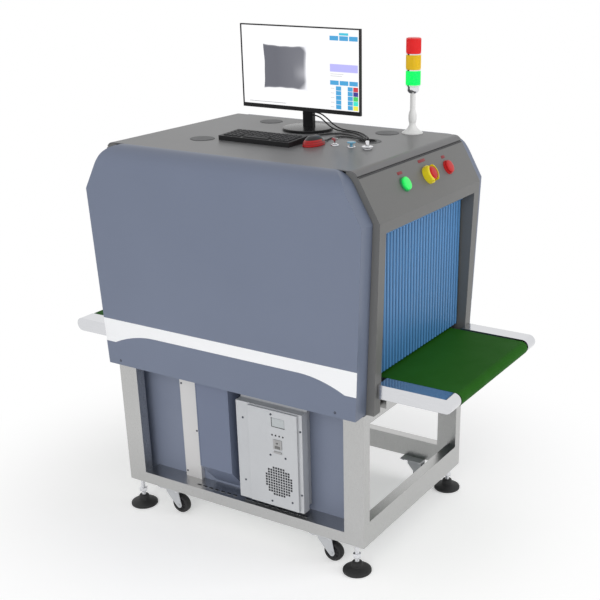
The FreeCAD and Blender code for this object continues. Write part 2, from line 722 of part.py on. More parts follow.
front_cover = cut("front_shell", housing("front_outside", dim(0)), housing("front_hollow", s.cover_wall))
node("front_cover", front_cover)
node("rear_cover", mirror("rear_shell", front_cover, Vec(0, 1, 0)))

# Deck: one sheet with rounded ends, holes for the discs and the cables.
hood_corner = s.hood_half - (s.deck_top - s.kink_height) * slope_run
round_reach = s.deck_bend * Dim(math.tan(slope / 2), f"tan({s.slope_angle.text} * 0.5 deg)")
deck_end_x = hood_corner + round_reach * slope_cos
deck_end_z = s.deck_top - round_reach * slope_sin
deck_slip = s.cover_wall / slope_sin - s.cover_wall * slope_run
deck_half_width = s.half_width - s.cover_deep
deck_points = [
    (deck_end_x, deck_end_z), (hood_corner, s.deck_top, s.deck_bend - 0.01),
    (-hood_corner, s.deck_top, s.deck_bend - 0.01), (-deck_end_x, deck_end_z),
    (-deck_end_x + s.cover_wall * slope_sin, deck_end_z - s.cover_wall * slope_cos),
    (-hood_corner + deck_slip, s.deck_top - s.cover_wall, s.deck_bend - s.cover_wall - 0.01),
    (hood_corner - deck_slip, s.deck_top - s.cover_wall, s.deck_bend - s.cover_wall - 0.01),
    (deck_end_x - s.cover_wall * slope_sin, deck_end_z - s.cover_wall * slope_cos)]
deck_sheet = slab("deck_sheet", "XZ_Plane", deck_points, deck_half_width * 2)
PLUGS = [(s.plug_x, s.plug_rear), (-s.plug_x, s.plug_front), (-s.plug_x, s.plug_rear), (s.outlet_x, s.outlet_y)]
SWITCHES = (s.switch_key_x, s.switch_push_x, s.switch_knob_x)
deck_foot = s.deck_top - s.cover_wall
deck_holes = [rod(f"deck_hole_{i}", s.plug_radius + s.seat_gap, s.cover_wall * 3, (x, y, deck_foot - s.cover_wall))
              for i, (x, y) in enumerate(PLUGS)]
deck_holes += [rod(f"switch_hole_{i}", s.switch_bore, s.cover_wall * 3, (x, s.switch_y, deck_foot - s.cover_wall))
               for i, x in enumerate(SWITCHES)]
node("top_deck", cut("deck", deck_sheet, *deck_holes))


def deck_plug(name, x, y):
    """A flush disc that snaps in, with a lip under the deck."""
    return turned(name, [(0, 0), (s.plug_radius - 2, 0), (s.plug_radius - 2, 8), (s.plug_radius + 3, 8),
                         (s.plug_radius + 3, 11), (s.plug_radius, 11), (s.plug_radius, 14.6),
                         (s.plug_radius - 0.8, 15.4), (0, 15.4)], (x, y, deck_foot - 11))


discs = [deck_plug(f"plug_{i}", x, y) for i, (x, y) in enumerate(PLUGS)]
discs[-1] = cut("outlet_disc", discs[-1], rod("outlet_bore", s.outlet_hole, 40,
                                              (s.outlet_x - 4, s.outlet_y - 2, deck_foot - 20)))
node("deck_discs", group("discs", discs))

# End housings: a console with a sloping face over the tunnel mouth, and a post on each side.
hood_half_width = deck_half_width - s.hood_gap
console_back = s.hood_half - s.hood_deep
console_top_z = deck_end_z - s.groove * slope_sin
console_top_x = deck_end_x + s.groove * slope_cos
taper_rate = s.hood_taper / (s.kink_height - cover_bottom)
lintel_x = s.hood_half - (s.kink_height - s.tunnel_top) * taper_rate
post_x = s.hood_half - s.hood_taper
slip = s.cover_wall / slope_sin
button_x = s.hood_half - s.button_rise * slope_cos
button_z = s.kink_height + s.button_rise * slope_sin
NORMAL = Rotation(Vec(0, 1, 0), 90 - (90 - float(s.slope_angle)))


def console_outline(name):
    """A folded shell, open at its back and under the deck."""
    outside = slab(name + "_outside", "XZ_Plane", [
        (console_back, s.tunnel_top), (lintel_x, s.tunnel_top), (s.hood_half, s.kink_height),
        (console_top_x, console_top_z), (console_back, console_top_z)], hood_half_width * 2)
    inside = slab(name + "_inside", "XZ_Plane", [
        (console_back - 10, s.tunnel_top + s.cover_wall), (lintel_x - s.cover_wall, s.tunnel_top + s.cover_wall),
        (s.hood_half - s.cover_wall * 1.1, s.kink_height),
        (console_top_x - slip - 10 * slope_run, console_top_z + 10), (console_back - 10, console_top_z + 10)],
        (hood_half_width - s.cover_wall) * 2)
    return outside, inside


def console_cheeks(name):
    """The console's side walls, carried on up to the deck that rests on them."""
    under = s.cover_wall + s.seat_gap
    lap = console_top_z - 5
    lap_x = s.hood_half - (lap - s.kink_height) * slope_run - under / slope_sin
    cheek_back = console_back - 20
    points = [(cheek_back, lap), (lap_x, lap),
              (hood_corner - under / slope_sin + under * slope_run, s.deck_top - under, s.deck_bend - under),
              (cheek_back, s.deck_top - under)]
    middle = hood_half_width - s.cover_wall / 2
    return [slab(f"{name}_{side}", "XZ_Plane", points, s.cover_wall, (0, sign * middle, 0))
            for side, sign in (("front", -1), ("rear", 1))]


def on_slope(along_y, lift):
    """A point over the console's sloping face, on the buttons' line."""
    return (button_x + lift * slope_sin, along_y, button_z + lift * slope_cos)


BUTTONS = (("start", s.button_start_y), ("emergency", s.button_emergency_y), ("stop", s.button_stop_y))
outside, inside = console_outline("outfeed")
stem_holes = [rod(f"stem_hole_{n}", s.button_stem + 1, 30, on_slope(y, -15), NORMAL) for n, y in BUTTONS]
node("outfeed_console", fuse("outfeed_housing", cut("outfeed_shell", outside, inside, *stem_holes),
                             *console_cheeks("outfeed_cheek")))
outside, inside = console_outline("infeed_raw")
infeed_raw = fuse("infeed_housing", cut("infeed_shell", outside, inside), *console_cheeks("infeed_cheek"))
node("infeed_console", mirror("infeed_turned", infeed_raw, Vec(1, 0, 0)))

post = cut("post", slab("post_outside", "XZ_Plane", [
    (console_back, cover_bottom), (post_x, cover_bottom), (lintel_x, s.tunnel_top), (console_back, s.tunnel_top)],
    hood_half_width - s.tunnel_half, (0, (hood_half_width + s.tunnel_half) / 2, 0)),
    slab("post_inside", "XZ_Plane", [
        (console_back + s.cover_wall, cover_bottom - 10), (post_x - s.cover_wall, cover_bottom - 10),
        (lintel_x - s.cover_wall, s.tunnel_top - s.cover_wall),
        (console_back + s.cover_wall, s.tunnel_top - s.cover_wall)],
        hood_half_width - s.tunnel_half - s.cover_wall * 2, (0, (hood_half_width + s.tunnel_half) / 2, 0)))
post_front = mirror("post_front", post, Vec(0, 1, 0))
node("end_posts", group("posts", [post, post_front, mirror("post_in_rear", post, Vec(1, 0, 0)),
                                  mirror("post_in_front", post_front, Vec(1, 0, 0))]))

# Shielded tunnel: two walls with feet on the frame, and a roof with the slot for the beam.
wall_outer = s.tunnel_half + s.lead_wall
wall_rear = slab("wall_rear", "YZ_Plane", [
    (s.tunnel_half, cover_bottom), (hood_half_width, cover_bottom), (hood_half_width, cover_bottom + s.lead_wall),
    (wall_outer, cover_bottom + s.lead_wall), (wall_outer, s.tunnel_top), (s.tunnel_half, s.tunnel_top)],
    console_back * 2)
node("tunnel_walls", group("walls", [wall_rear, mirror("wall_front", wall_rear, Vec(0, 1, 0))]))
roof_top = s.tunnel_top + s.lead_wall
beam_half = s.belt_half - 8
node("tunnel_roof", cut("roof", box("roof_plate", (-console_back, -wall_outer, s.tunnel_top),
                                    (console_back, wall_outer, roof_top)),
                        box("roof_slot", (-s.beam_slot / 2, -beam_half, s.tunnel_top - 1),
                            (s.beam_slot / 2, beam_half, roof_top + 1))))

# Generator over the roof, detector under the belt.
foot_top = roof_top + s.tank_foot
collimator_y = beam_half - 6
generator_tank = box("tank", (-s.tank_half_x, -s.tank_half_y, foot_top),
                     (s.tank_half_x, s.tank_half_y, foot_top + s.tank_tall))
generator_foot = box("tank_sheet", (-s.tank_half_x - s.tank_margin, -s.tank_half_y - s.tank_margin, roof_top),
                     (s.tank_half_x + s.tank_margin, s.tank_half_y + s.tank_margin, foot_top))
generator_nose = box("collimator", (-s.collimator_half, -beam_half, roof_top),
                     (s.collimator_half, beam_half, roof_top + s.collimator_tall))
generator_slot = box("collimator_slot", (-s.beam_slot / 2, -collimator_y, roof_top - 1),
                     (s.beam_slot / 2, collimator_y, roof_top + s.tube_height * 0.6))
generator_head = rod("tube_head", s.tube_radius, s.tube_half * 2,
                     (0, -s.tube_half, roof_top + s.tube_height), ALONG_Y)
node("xray_generator", cut("generator", fuse("generator_body", generator_tank, generator_foot, generator_nose,
                                             generator_head), generator_slot))

# Conveyor: slider bed, endless belt, end rollers, side plates with cross bars, and rails.
bed_top = s.belt_top - s.belt_thick
bed_under = bed_top - s.bed_sheet
axis_height = bed_top - s.seat_gap - s.roller_radius
return_top = axis_height - s.roller_radius - s.seat_gap
return_foot = return_top - s.belt_thick
loop_inner = s.roller_radius + s.seat_gap
loop_outer = loop_inner + s.belt_thick
outfeed_axis = s.outfeed_reach - loop_outer
infeed_axis = loop_outer - s.infeed_reach
bed_gap = loop_outer + 4


def loop_points(radius):
    """A belt outline about both end rollers."""
    low, high = axis_height - radius, axis_height + radius
    left, right = infeed_axis - radius, outfeed_axis + radius
    turn = radius - 0.01
    return [(left, low, turn), (right, low, turn), (right, high, turn), (left, high, turn)]


node("belt", cut("belt_loop", slab("belt_outside", "XZ_Plane", loop_points(loop_outer), s.belt_half * 2),
                 slab("belt_inside", "XZ_Plane", loop_points(loop_inner), s.belt_half * 2 + 2)))

bed_left = infeed_axis + bed_gap
bed_right = outfeed_axis - bed_gap
bed_whole = box("bed_whole", (bed_left, -s.bed_half, bed_top - s.bed_flange), (bed_right, s.bed_half, bed_top))
bed_hollow = box("bed_hollow", (bed_left, -s.bed_half + s.bed_sheet, bed_top - s.bed_flange),
                 (bed_right, s.bed_half - s.bed_sheet, bed_under))
bed_slot = box("bed_slot", (-s.beam_slot / 2, -beam_half, bed_under - 1), (s.beam_slot / 2, beam_half, bed_top + 1))
node("slider_bed", cut("bed", bed_whole, bed_hollow, bed_slot))

plate_outer = s.bed_half + s.side_plate
frame_end = post_x + 4
guide_top = return_foot - s.seat_gap
plates = [box(f"side_plate_{n}", (-frame_end, low, cover_bottom), (frame_end, low + s.side_plate, bed_under))
          for n, low in (("front", -plate_outer), ("rear", s.bed_half))]
BARS = (-300, 0, 300)
bars = [box(f"bar_{i}", (x - s.cross_bar / 2, -s.bed_half, guide_top - s.cross_bar),
            (x + s.cross_bar / 2, s.bed_half, guide_top)) for i, x in enumerate(BARS)]
node("conveyor_frame", fuse("side_frame", *plates, *bars))

node("detector_array", box("detector", (-s.detector_half, s.bed_sheet - s.bed_half, return_top + s.detector_gap),
                           (s.detector_half, s.bed_half - s.bed_sheet, bed_under - s.detector_gap)))

rail_top = s.belt_top + s.rail_above
rail_foot = rail_top - s.rail_tall
rail_tip = outfeed_axis + s.rail_tall / 2


def rail_points(tip, inset, start):
    """A rail's side view: square at the housing and half round at its tip."""
    turn = s.rail_tall / 2 - inset - 0.01
    return [(start, rail_foot + inset), (tip - inset, rail_foot + inset, turn),
            (tip - inset, rail_top - inset, turn), (start, rail_top - inset)]


def rail(name, reach, axis_x):
    """One folded rail, with the bore for the end roller's shaft."""
    middle = s.bed_half + s.rail_width / 2
    outside = slab(name + "_outside", "XZ_Plane", rail_points(reach, dim(0), frame_end), s.rail_width, (0, middle, 0))
    inside = slab(name + "_inside", "XZ_Plane", rail_points(reach, s.rail_sheet, frame_end - 5),
                  s.rail_width - s.rail_sheet * 2, (0, middle, 0))
    bore = rod(name + "_bore", s.roller_shaft + s.running_gap, s.rail_sheet * 3,
               (axis_x, s.bed_half - s.rail_sheet, axis_height), ALONG_Y)
    return cut(name, outside, inside, bore)


rail_out = rail("rail_out", s.outfeed_reach, outfeed_axis)
rail_in = mirror("rail_in", rail("rail_in_raw", s.infeed_reach, -infeed_axis), Vec(1, 0, 0))
node("conveyor_rails", group("rails", [rail_out, mirror("rail_out_front", rail_out, Vec(0, 1, 0)),
                                       rail_in, mirror("rail_in_front", rail_in, Vec(0, 1, 0))]))


def end_roller(name, axis_x):
    """A crowned roller on a through shaft."""
    half = s.belt_half - 2
    tip = s.bed_half + s.rail_sheet + 12
    return turned(name, [(0, -tip), (s.roller_shaft, -tip), (s.roller_shaft, -half), (s.roller_radius - 0.6, -half),
                         (s.roller_radius, 40 - half), (s.roller_radius, half - 40), (s.roller_radius - 0.6, half),
                         (s.roller_shaft, half), (s.roller_shaft, tip), (0, tip)],
                  (axis_x, 0, axis_height), ALONG_Y)


node("drive_roller", end_roller("roller_out", outfeed_axis))
node("tail_roller", end_roller("roller_in", infeed_axis))

# Curtains: leaded strips on a sleeve that hangs from a rod across the tunnel mouth.
rod_height = s.tunnel_top - s.curtain_drop


def curtain(name):
    """Ridged strips side by side, slit from the foot to just under the sleeve."""
    pitch, half = float(s.strip_pitch), float(s.curtain_half)
    count = int(2 * half // pitch)
    pitch = 2 * half / count
    foot, head = float(s.curtain_foot), float(rod_height)
    thick = float(s.strip_thick)
    face = [Vec(-1, -half, 0), Vec(-1, half, 0), Vec(0, half, 0)]
    for i in range(count, 0, -1):
        right = -half + i * pitch
        face += [Vec(thick - 1, right - pitch / 2, 0), Vec(0, right - pitch, 0)]
    sheet_shape = Part.Face(Part.makePolygon(face + [face[0]])).extrude(Vec(0, 0, head - foot))
    slits = [Part.makeBox(thick + 4, 0.8, head - foot - 24, Vec(-2, -half + i * pitch - 0.4, -1))
             for i in range(1, count)]
    solid = sheet_shape.cut(Part.makeCompound(slits))
    solid.translate(Vec(0, 0, foot - head))
    sleeve = Part.makeCylinder(float(s.curtain_sleeve), 2 * half, Vec(0, -half, 0), Vec(0, 1, 0))
    solid = solid.fuse(sleeve)
    bore = Part.makeCylinder(float(s.curtain_rod + s.running_gap), 2 * half + 2, Vec(0, -half - 1, 0), Vec(0, 1, 0))
    return made(name, solid.cut(bore))


node("outfeed_curtain", put(curtain("curtain_out"), (s.curtain_x, 0, rod_height)))
node("infeed_curtain", put(curtain("curtain_in"), (-s.curtain_x, 0, rod_height), Rotation(Vec(0, 0, 1), 180)))
rods = [rod(f"curtain_rod_{n}", s.curtain_rod, s.tunnel_half * 2, (x, -s.tunnel_half, rod_height), ALONG_Y)
        for n, x in (("out", s.curtain_x), ("in", -s.curtain_x))]
node("curtain_rods", group("rods", rods))


# Monitor on a tilting stand.
def monitor_stand():
    """A round foot, a flat neck and a knuckle for the tilt pin."""
    x, y = s.screen_x, s.stand_y
    foot = turned("stand_foot", [(0, 0), (s.stand_radius, 0), (s.stand_radius, 4), (s.stand_radius - 10, 8),
                                 (26, 13), (0, 13)], (x, y - 10, s.deck_top))
    neck = box("stand_neck", (x - s.neck_width / 2, y - s.neck_deep / 2, s.deck_top + 8),
               (x + s.neck_width / 2, y + s.neck_deep / 2, s.tilt_height))
    knuckle = rod("stand_knuckle", s.knuckle_radius, s.neck_width, (x - s.neck_width / 2, y, s.tilt_height), ALONG_X)
    bore = rod("stand_bore", s.tilt_pin + s.running_gap, s.neck_width + 4,
               (x - s.neck_width / 2 - 2, y, s.tilt_height), ALONG_X)
    return cut("stand", fuse("stand_whole", foot, neck, knuckle), bore)


def monitor():
    """A thin rim with recessed glass, a tapered back and two ears on the tilt pin."""
    x, face, foot = s.screen_x, s.screen_face, s.screen_foot
    half, head = s.screen_wide / 2, s.screen_foot + s.screen_tall
    back = face + s.screen_deep
    rim = box("monitor_rim", (x - half, face, foot), (x + half, back, head))
    recess = box("monitor_glass", (x - half + s.screen_bezel, face - 1, foot + s.screen_chin),
                 (x + half - s.screen_bezel, face + 1.5, head - s.screen_bezel * 0.75))
    centre_x, centre_z = float(x), float(foot + s.screen_tall / 2)

    def ring(wide, tall, at):
        w, h = wide / 2, tall / 2
        corners = [Vec(centre_x - w, at, centre_z - h), Vec(centre_x + w, at, centre_z - h),
                   Vec(centre_x + w, at, centre_z + h), Vec(centre_x - w, at, centre_z + h)]
        return Part.makePolygon(corners + [corners[0]])

    wide, tall = float(s.screen_wide), float(s.screen_tall)
    hump = made("monitor_hump", Part.makeLoft(
        [ring(wide - 40, tall - 40, float(back)), ring(wide - 180, tall - 110, float(back + s.screen_hump))], True, True))
    half_neck = s.neck_width / 2 + s.seat_gap
    ears = []
    for side, low in (("left", x - half_neck - 6), ("right", x + half_neck)):
        ears.append(rod(f"ear_{side}", s.knuckle_radius, 6, (low, s.stand_y, s.tilt_height), ALONG_X))
        ears.append(box(f"ear_root_{side}", (low, back + 2, s.tilt_height - s.knuckle_radius),
                        (low + 6, s.stand_y, s.tilt_height + s.knuckle_radius)))
    pin = rod("monitor_pin", s.tilt_pin, half_neck * 2 + 6, (x - half_neck - 3, s.stand_y, s.tilt_height), ALONG_X)
    pocket = box("monitor_pocket", (x - half_neck, s.stand_y - s.knuckle_radius - 3, foot + 30),
                 (x + half_neck, s.stand_y + 40, s.tilt_height + 40))
    shell = cut("monitor_shell", fuse("monitor_case", rim, hump), recess, pocket)
    return fuse("monitor_whole", shell, pin, *ears)


node("monitor_stand", monitor_stand())
node("monitor", monitor())

# Keyboard with a wedge case, and its keys as one grid.
board_half_x = s.keyboard_wide / 2
board_half_y = s.keyboard_deep / 2
board_front_tall = s.keyboard_tall * 0.75
KEY_ROWS = 5
case = slab("keyboard_case_raw", "YZ_Plane", [
    (-board_half_y, 0), (board_half_y, 0), (board_half_y, s.keyboard_tall), (-board_half_y, board_front_tall)],
    s.keyboard_wide, (s.keyboard_x, s.keyboard_y, s.deck_top))
wedge = math.atan2(float(s.keyboard_tall - board_front_tall), float(s.keyboard_deep))


def key_grid(grow, low, high):
    """Key blocks in rows, tilted with the top of the case."""
    pitch, size = float(s.key_pitch), float(s.key_size) + grow
    columns = int((float(s.keyboard_wide) - 16) // pitch)
    blocks = []
    for row in range(KEY_ROWS):
        y = (row - (KEY_ROWS - 1) / 2) * (pitch + 1)
        spans = [(k - (columns - 1) / 2, 1) for k in range(columns)]
        if row == 0:
            middle = [k for k in spans if abs(k[0]) > 3.2]
            spans = middle + [(0, 6)]
        for at, wide in spans:
            length = size + (wide - 1) * pitch
            block = Part.makeBox(length, size, high - low, Vec(at * pitch - length / 2, y - size / 2, low))
            block.rotate(Vec(0, 0, 0), Vec(1, 0, 0), math.degrees(wedge))
            block.translate(Vec(0, 0, float(s.keyboard_tall + board_front_tall) / 2))
            blocks.append(block)
    return Part.makeCompound(blocks)


keyboard_place = (s.keyboard_x, s.keyboard_y, s.deck_top)
well = put(made("key_wells", key_grid(1.2, -4.0, 6.0)), keyboard_place)
node("keyboard_case", cut("keyboard", case, well))
node("keyboard_keys", put(made("keys", key_grid(0.0, -0.9, 3.6)), keyboard_place))


# Mouse: a domed body, a pair of buttons and a wheel between them.
def dome(grow):
    """The mouse's egg-shaped shell, cut flat at the deck."""
    long_half, wide_half = float(s.mouse_long) / 2 + grow, float(s.mouse_wide) / 2 + grow
    ball = Part.makeSphere(1)
    frame = FreeCAD.Matrix()
    frame.scale(wide_half, long_half, float(s.mouse_tall) + grow)
    ball = ball.transformGeometry(frame)
    side = 4 * long_half
    return ball.common(Part.makeBox(side, side, side, Vec(-side / 2, -side / 2, 0)))


MOUSE_SPLIT = 14.0
BUTTON_SKIN = 2.6
WHEEL_RADIUS = 10.0
WHEEL_AXIS = (0, 26, 22)
button_zone = Part.makeBox(200, 200, 60, Vec(-100, MOUSE_SPLIT, 13))
top_skin = dome(0).cut(dome(-BUTTON_SKIN)).common(button_zone)
core_zone = Part.makeBox(200, 200, 60, Vec(-100, MOUSE_SPLIT - 0.4, 11.6))
core = dome(0).cut(dome(0).cut(dome(-BUTTON_SKIN - 1.8)).common(core_zone))
wheel_slot = Part.makeBox(6, 24, 40, Vec(-3, WHEEL_AXIS[1] - 12, 6))
wheel_axle = Part.makeCylinder(1.5, 10, Vec(-5, WHEEL_AXIS[1], WHEEL_AXIS[2]), Vec(1, 0, 0))
wheel_shape = Part.makeCylinder(WHEEL_RADIUS, 5, Vec(-2.5, WHEEL_AXIS[1], WHEEL_AXIS[2]), Vec(1, 0, 0))
axle_bore = Part.makeCylinder(1.55, 10.2, Vec(-5.1, WHEEL_AXIS[1], WHEEL_AXIS[2]), Vec(1, 0, 0))
mouse_place = (s.mouse_x, s.mouse_y, s.deck_top)
node("mouse_body", put(made("mouse_core", core.cut(wheel_slot).cut(axle_bore)), mouse_place))
seam = Part.makeBox(0.5, 200, 60, Vec(-0.25, 0, 0))
node("mouse_buttons", put(made("mouse_skin", top_skin.cut(wheel_slot).cut(seam)), mouse_place))
node("mouse_wheel", put(made("wheel_small", wheel_shape.fuse(wheel_axle)), mouse_place))

# Signal tower: a flared foot and pole with a collar, and three lenses.
pole_top = s.lens_foot
collar_radius = s.lens_radius - 4.5
tower_points = [(0, 0), (s.tower_foot, 0), (s.tower_foot, 3), (30, 8), (17, 20), (11, 32), (14.5, 44), (14.5, 62),
                (12, 74), (9.5, 80), (9.5, 138), (16, 140), (collar_radius, 148),
                (collar_radius, pole_top - s.deck_top), (0, pole_top - s.deck_top)]
node("tower_stand", turned("tower", tower_points, (s.tower_x, s.tower_y, s.deck_top)))
LENSES = ("green", "yellow", "red")
for level, colour in enumerate(LENSES):
    lens_z = s.lens_foot + level * (s.lens_tall + 1)
    lens_points = [(0, 0), (s.lens_radius - 1.5, 0), (s.lens_radius - 1.5, 4), (s.lens_radius, 5),
                   (s.lens_radius, s.lens_tall)]
    if colour == "red":
        lens_points += [(s.lens_radius - 1.5, s.lens_tall + 2), (s.lens_radius - 5, s.lens_tall + 3),
                        (0, s.lens_tall + 3)]
    else:
        lens_points += [(s.lens_radius - 3, s.lens_tall + 1), (0, s.lens_tall + 1)]
    node(f"lens_{colour}", turned(f"tower_lens_{colour}", lens_points, (s.tower_x, s.tower_y, lens_z)))


# Console and deck controls.
def bezel(name, radius, bore, tall, at, turn):
    """A ring that frames one control."""
    return turned(name, [(bore, 0), (radius, 0), (radius, tall * 0.5), (radius - 1.5, tall), (bore, tall)], at, turn)


cap_bore = s.button_cap + s.seat_gap
bezels = [bezel("bezel_start", s.button_bezel, cap_bore, 6, on_slope(s.button_start_y, 0), NORMAL),
          bezel("bezel_stop", s.button_bezel, cap_bore, 6, on_slope(s.button_stop_y, 0), NORMAL)]
bezels += [bezel(f"bezel_{n}", s.switch_bezel, s.switch_bore, 3, (x, s.switch_y, s.deck_top), UPRIGHT)
           for n, x in zip(("key", "push", "knob"), SWITCHES)]
node("control_bezels", group("bezels", bezels))


def guard():
    """A collar round the emergency button, with a gap toward the deck and one toward the tunnel."""
    at = on_slope(s.button_emergency_y, 0)
    collar = turned("guard_collar", [
        (s.button_stem * 2, 0), (s.guard_radius, 0), (s.guard_radius, s.guard_tall - 3),
        (s.guard_radius - 3, s.guard_tall), (s.guard_radius - s.guard_wall, s.guard_tall),
        (s.guard_radius - s.guard_wall, 6), (s.button_stem * 2, 6)], at, NORMAL)
    reach = s.guard_radius + 5
    gap = box("guard_gap", (0, 0, 0), (reach * 2, s.guard_gap, s.guard_tall))
    across = Vec(-float(reach), -float(s.guard_gap) / 2, 9)
    gap.Placement = FreeCAD.Placement(Vec(*[float(c) for c in at]), NORMAL) * FreeCAD.Placement(across, UPRIGHT)
    return cut("guard", collar, gap)


node("emergency_guard", guard())

for label, along in (("start", s.button_start_y), ("stop", s.button_stop_y)):
    node(f"{label}_button", turned(f"{label}_cap", [
        (0, 0), (s.button_stem, 0), (s.button_stem, 28), (s.button_cap, 28), (s.button_cap, 35),
        (s.button_cap - 4, 38), (0, 38)], on_slope(along, -23), NORMAL))
node("emergency_button", turned("emergency_cap", [
    (0, 0), (s.button_stem, 0), (s.button_stem, 29), (s.button_stem * 1.9, 31), (s.button_stem * 1.9, 40),
    (s.button_cap, 42), (s.button_cap, 46), (s.button_cap - 6, 51), (0, 52)],
    on_slope(s.button_emergency_y, -23), NORMAL))

switch_core = s.switch_bore - s.seat_gap
key_barrel = turned("key_barrel", [(0, 0), (switch_core, 0), (switch_core, 25), (0, 25)],
                    (s.switch_key_x, s.switch_y, deck_foot - 16))
key_blade = slab("key_blade", "XZ_Plane", [(-3, 24), (3, 24), (3, 33), (11, 36, 2), (11, 44, 3), (-11, 44, 3),
                                           (-11, 36, 2), (-3, 33)], 2.6, (s.switch_key_x, s.switch_y, deck_foot - 16))
node("key_switch", fuse("key_whole", key_barrel, key_blade))
node("deck_button", turned("deck_push", [
    (0, 0), (switch_core, 0), (switch_core, 27), (s.push_head, 29), (s.push_head, 34), (s.push_head - 3, 37.5),
    (0, 38)],
    (s.switch_push_x, s.switch_y, deck_foot - 16)))
knob_turned = turned("knob_turned", [
    (0, 0), (switch_core, 0), (switch_core, 23.5), (s.knob_flange, 25), (s.knob_flange, 28),
    (s.knob_flange - 2, 29.5), (9, 30), (8.5, 44), (7, 45), (0, 45)],
    (s.switch_knob_x, s.switch_y, deck_foot - 16))
knob_mark = box("knob_mark", (s.switch_knob_x - 0.8, s.switch_y - 9, deck_foot + 28),
                (s.switch_knob_x + 0.8, s.switch_y, deck_foot + 30))
node("deck_knob", cut("knob", knob_turned, knob_mark))


# Cables on the deck: straight runs joined by tangent arcs, swept with a round section.
def cable(label, route):
    """One cable through hand-chosen points. Each arc takes 0.45 of its shorter run."""
    points = [Vec(*p) for p in route]
    edges, radii, start = [], [], points[0]
    for before, at, after in zip(points, points[1:], points[2:]):
        back, on = (before - at), (after - at)
        turn = math.pi - back.getAngle(on)
        reach = 0.45 * min(back.Length, on.Length)
        radii.append(reach / math.tan(turn / 2))
        first, last = at + back.normalize() * reach, at + on.normalize() * reach
        bisector = (back + on).normalize()
        middle = at + bisector * (radii[-1] * (1 / math.cos(turn / 2) - 1))
        edges.append(Part.LineSegment(start, first).toShape())
        edges.append(Part.Arc(first, middle, last).toShape())
        start = last
    edges.append(Part.LineSegment(start, points[-1]).toShape())
    path = Part.Wire(edges)
    radius = float(s.cable_radius)
    ring = Part.Wire(Part.Circle(points[0], points[1] - points[0], radius).toShape())
    tube = path.makePipeShell([ring], True, True)
    expected = math.pi * radius ** 2 * path.Length
    print(f"{label}: {path.Length:.0f} mm long, arcs {[round(r) for r in radii]}, "
          f"volume {tube.Volume / expected:.4f} of section times length")
    return node(label, made(label, tube))


CABLE_REST = 1420.8
CABLES = {
    "power_cable": [(-12.7, 196, 1470), (8, 197, 1468), (30, 199, 1452), (52, 203, 1433), (76, 207, 1423),
                    (104, 208, 1420.9), (134, 204, 1420.9), (164, 193, 1420.9), (194, 174, 1420.9),
                    (220, 150, 1421.2), (240, 127, 1423.4), (255, 107, 1424), (264, 98.5, 1411.5),
                    (265, 97.5, 1393)],
    "video_cable": [(-12.7, 200, 1480), (10, 203, 1478), (32, 209, 1463), (52, 218, 1442), (76, 226, 1426),
                    (104, 230, 1421), (136, 226, 1421), (168, 213, 1421), (198, 192, 1421),
                    (224, 166, 1421.2), (246, 138, 1423.6), (264, 114, 1424), (272.5, 104.5, 1411.5),
                    (274, 103, 1393)],
    "keyboard_cable": [(60, -29.4, 1429), (61, -12, 1427), (62, 10, 1422), (64, 40, 1420.9), (67, 74, 1420.9),
                       (73, 108, 1420.9), (88, 138, 1420.9), (114, 156, 1420.9), (146, 160, 1420.9),
                       (178, 151, 1420.9), (206, 133, 1421.2), (230, 113, 1423.4), (252, 98, 1424),
                       (263.3, 92, 1411.5), (264.5, 91.4, 1393)],
    "mouse_cable": [(152, -7.6, 1424), (151, 10, 1423.5), (147, 30, 1420.9), (141, 54, 1420.9),
                    (139, 80, 1420.9), (148, 104, 1420.9), (168, 118, 1420.9), (192, 117, 1420.9),
                    (214, 106, 1421.3), (233, 94, 1423.6), (250, 87, 1424), (262.7, 84.5, 1411.5),
                    (264, 84.4, 1393)],
}
for cable_name, cable_route in CABLES.items():
    cable(cable_name, cable_route)

doc.recompute()
os.makedirs("parts", exist_ok=True)
faulty = [item.Label for item in doc.Objects if "Invalid" in item.State or "Error" in item.State]
faulty += [item.Label for item in NODES if item.Shape.isNull() or not item.Shape.isValid()]
if faulty:
    raise SystemExit(f"objects with faults: {faulty}")
for item in NODES:
    item.Shape.exportStep(f"parts/{item.Label}.step")
print(f"{len(NODES)} sub-parts written")
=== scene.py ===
"""Looks of a belt-fed x-ray inspection machine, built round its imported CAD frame.

Metres, +Z up. The belt runs along X, +X is the outfeed end with the console, and -Y is the front.
"""

import logging
import math
from dataclasses import dataclass, field
from enum import Enum

import bmesh
import bpy
import numpy as np
from mathutils import Matrix, Vector


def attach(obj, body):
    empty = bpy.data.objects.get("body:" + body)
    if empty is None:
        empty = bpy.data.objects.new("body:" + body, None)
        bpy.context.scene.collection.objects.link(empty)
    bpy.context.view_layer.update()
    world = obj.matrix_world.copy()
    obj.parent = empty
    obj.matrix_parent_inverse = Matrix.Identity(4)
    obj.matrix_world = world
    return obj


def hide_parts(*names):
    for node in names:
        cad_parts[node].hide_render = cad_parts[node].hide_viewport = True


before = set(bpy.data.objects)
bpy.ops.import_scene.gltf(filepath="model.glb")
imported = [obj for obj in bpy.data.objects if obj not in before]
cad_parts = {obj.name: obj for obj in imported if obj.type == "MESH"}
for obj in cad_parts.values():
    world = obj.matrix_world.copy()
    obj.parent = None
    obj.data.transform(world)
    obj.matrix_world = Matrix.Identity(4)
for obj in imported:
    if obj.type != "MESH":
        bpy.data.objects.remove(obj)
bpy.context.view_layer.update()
LOG = logging.getLogger("xray_machine")

Point = tuple[float, float, float]
Color = tuple[float, float, float]
Socket = bpy.types.NodeSocket
Source = Socket | float
Tone = Socket | Color
Span = tuple[float, float]
Block = tuple[Span, Span, float, float, float]

DECK_TOP = 1.418
MERGE_DISTANCE = 1e-6
NO_LENGTH = 1e-7


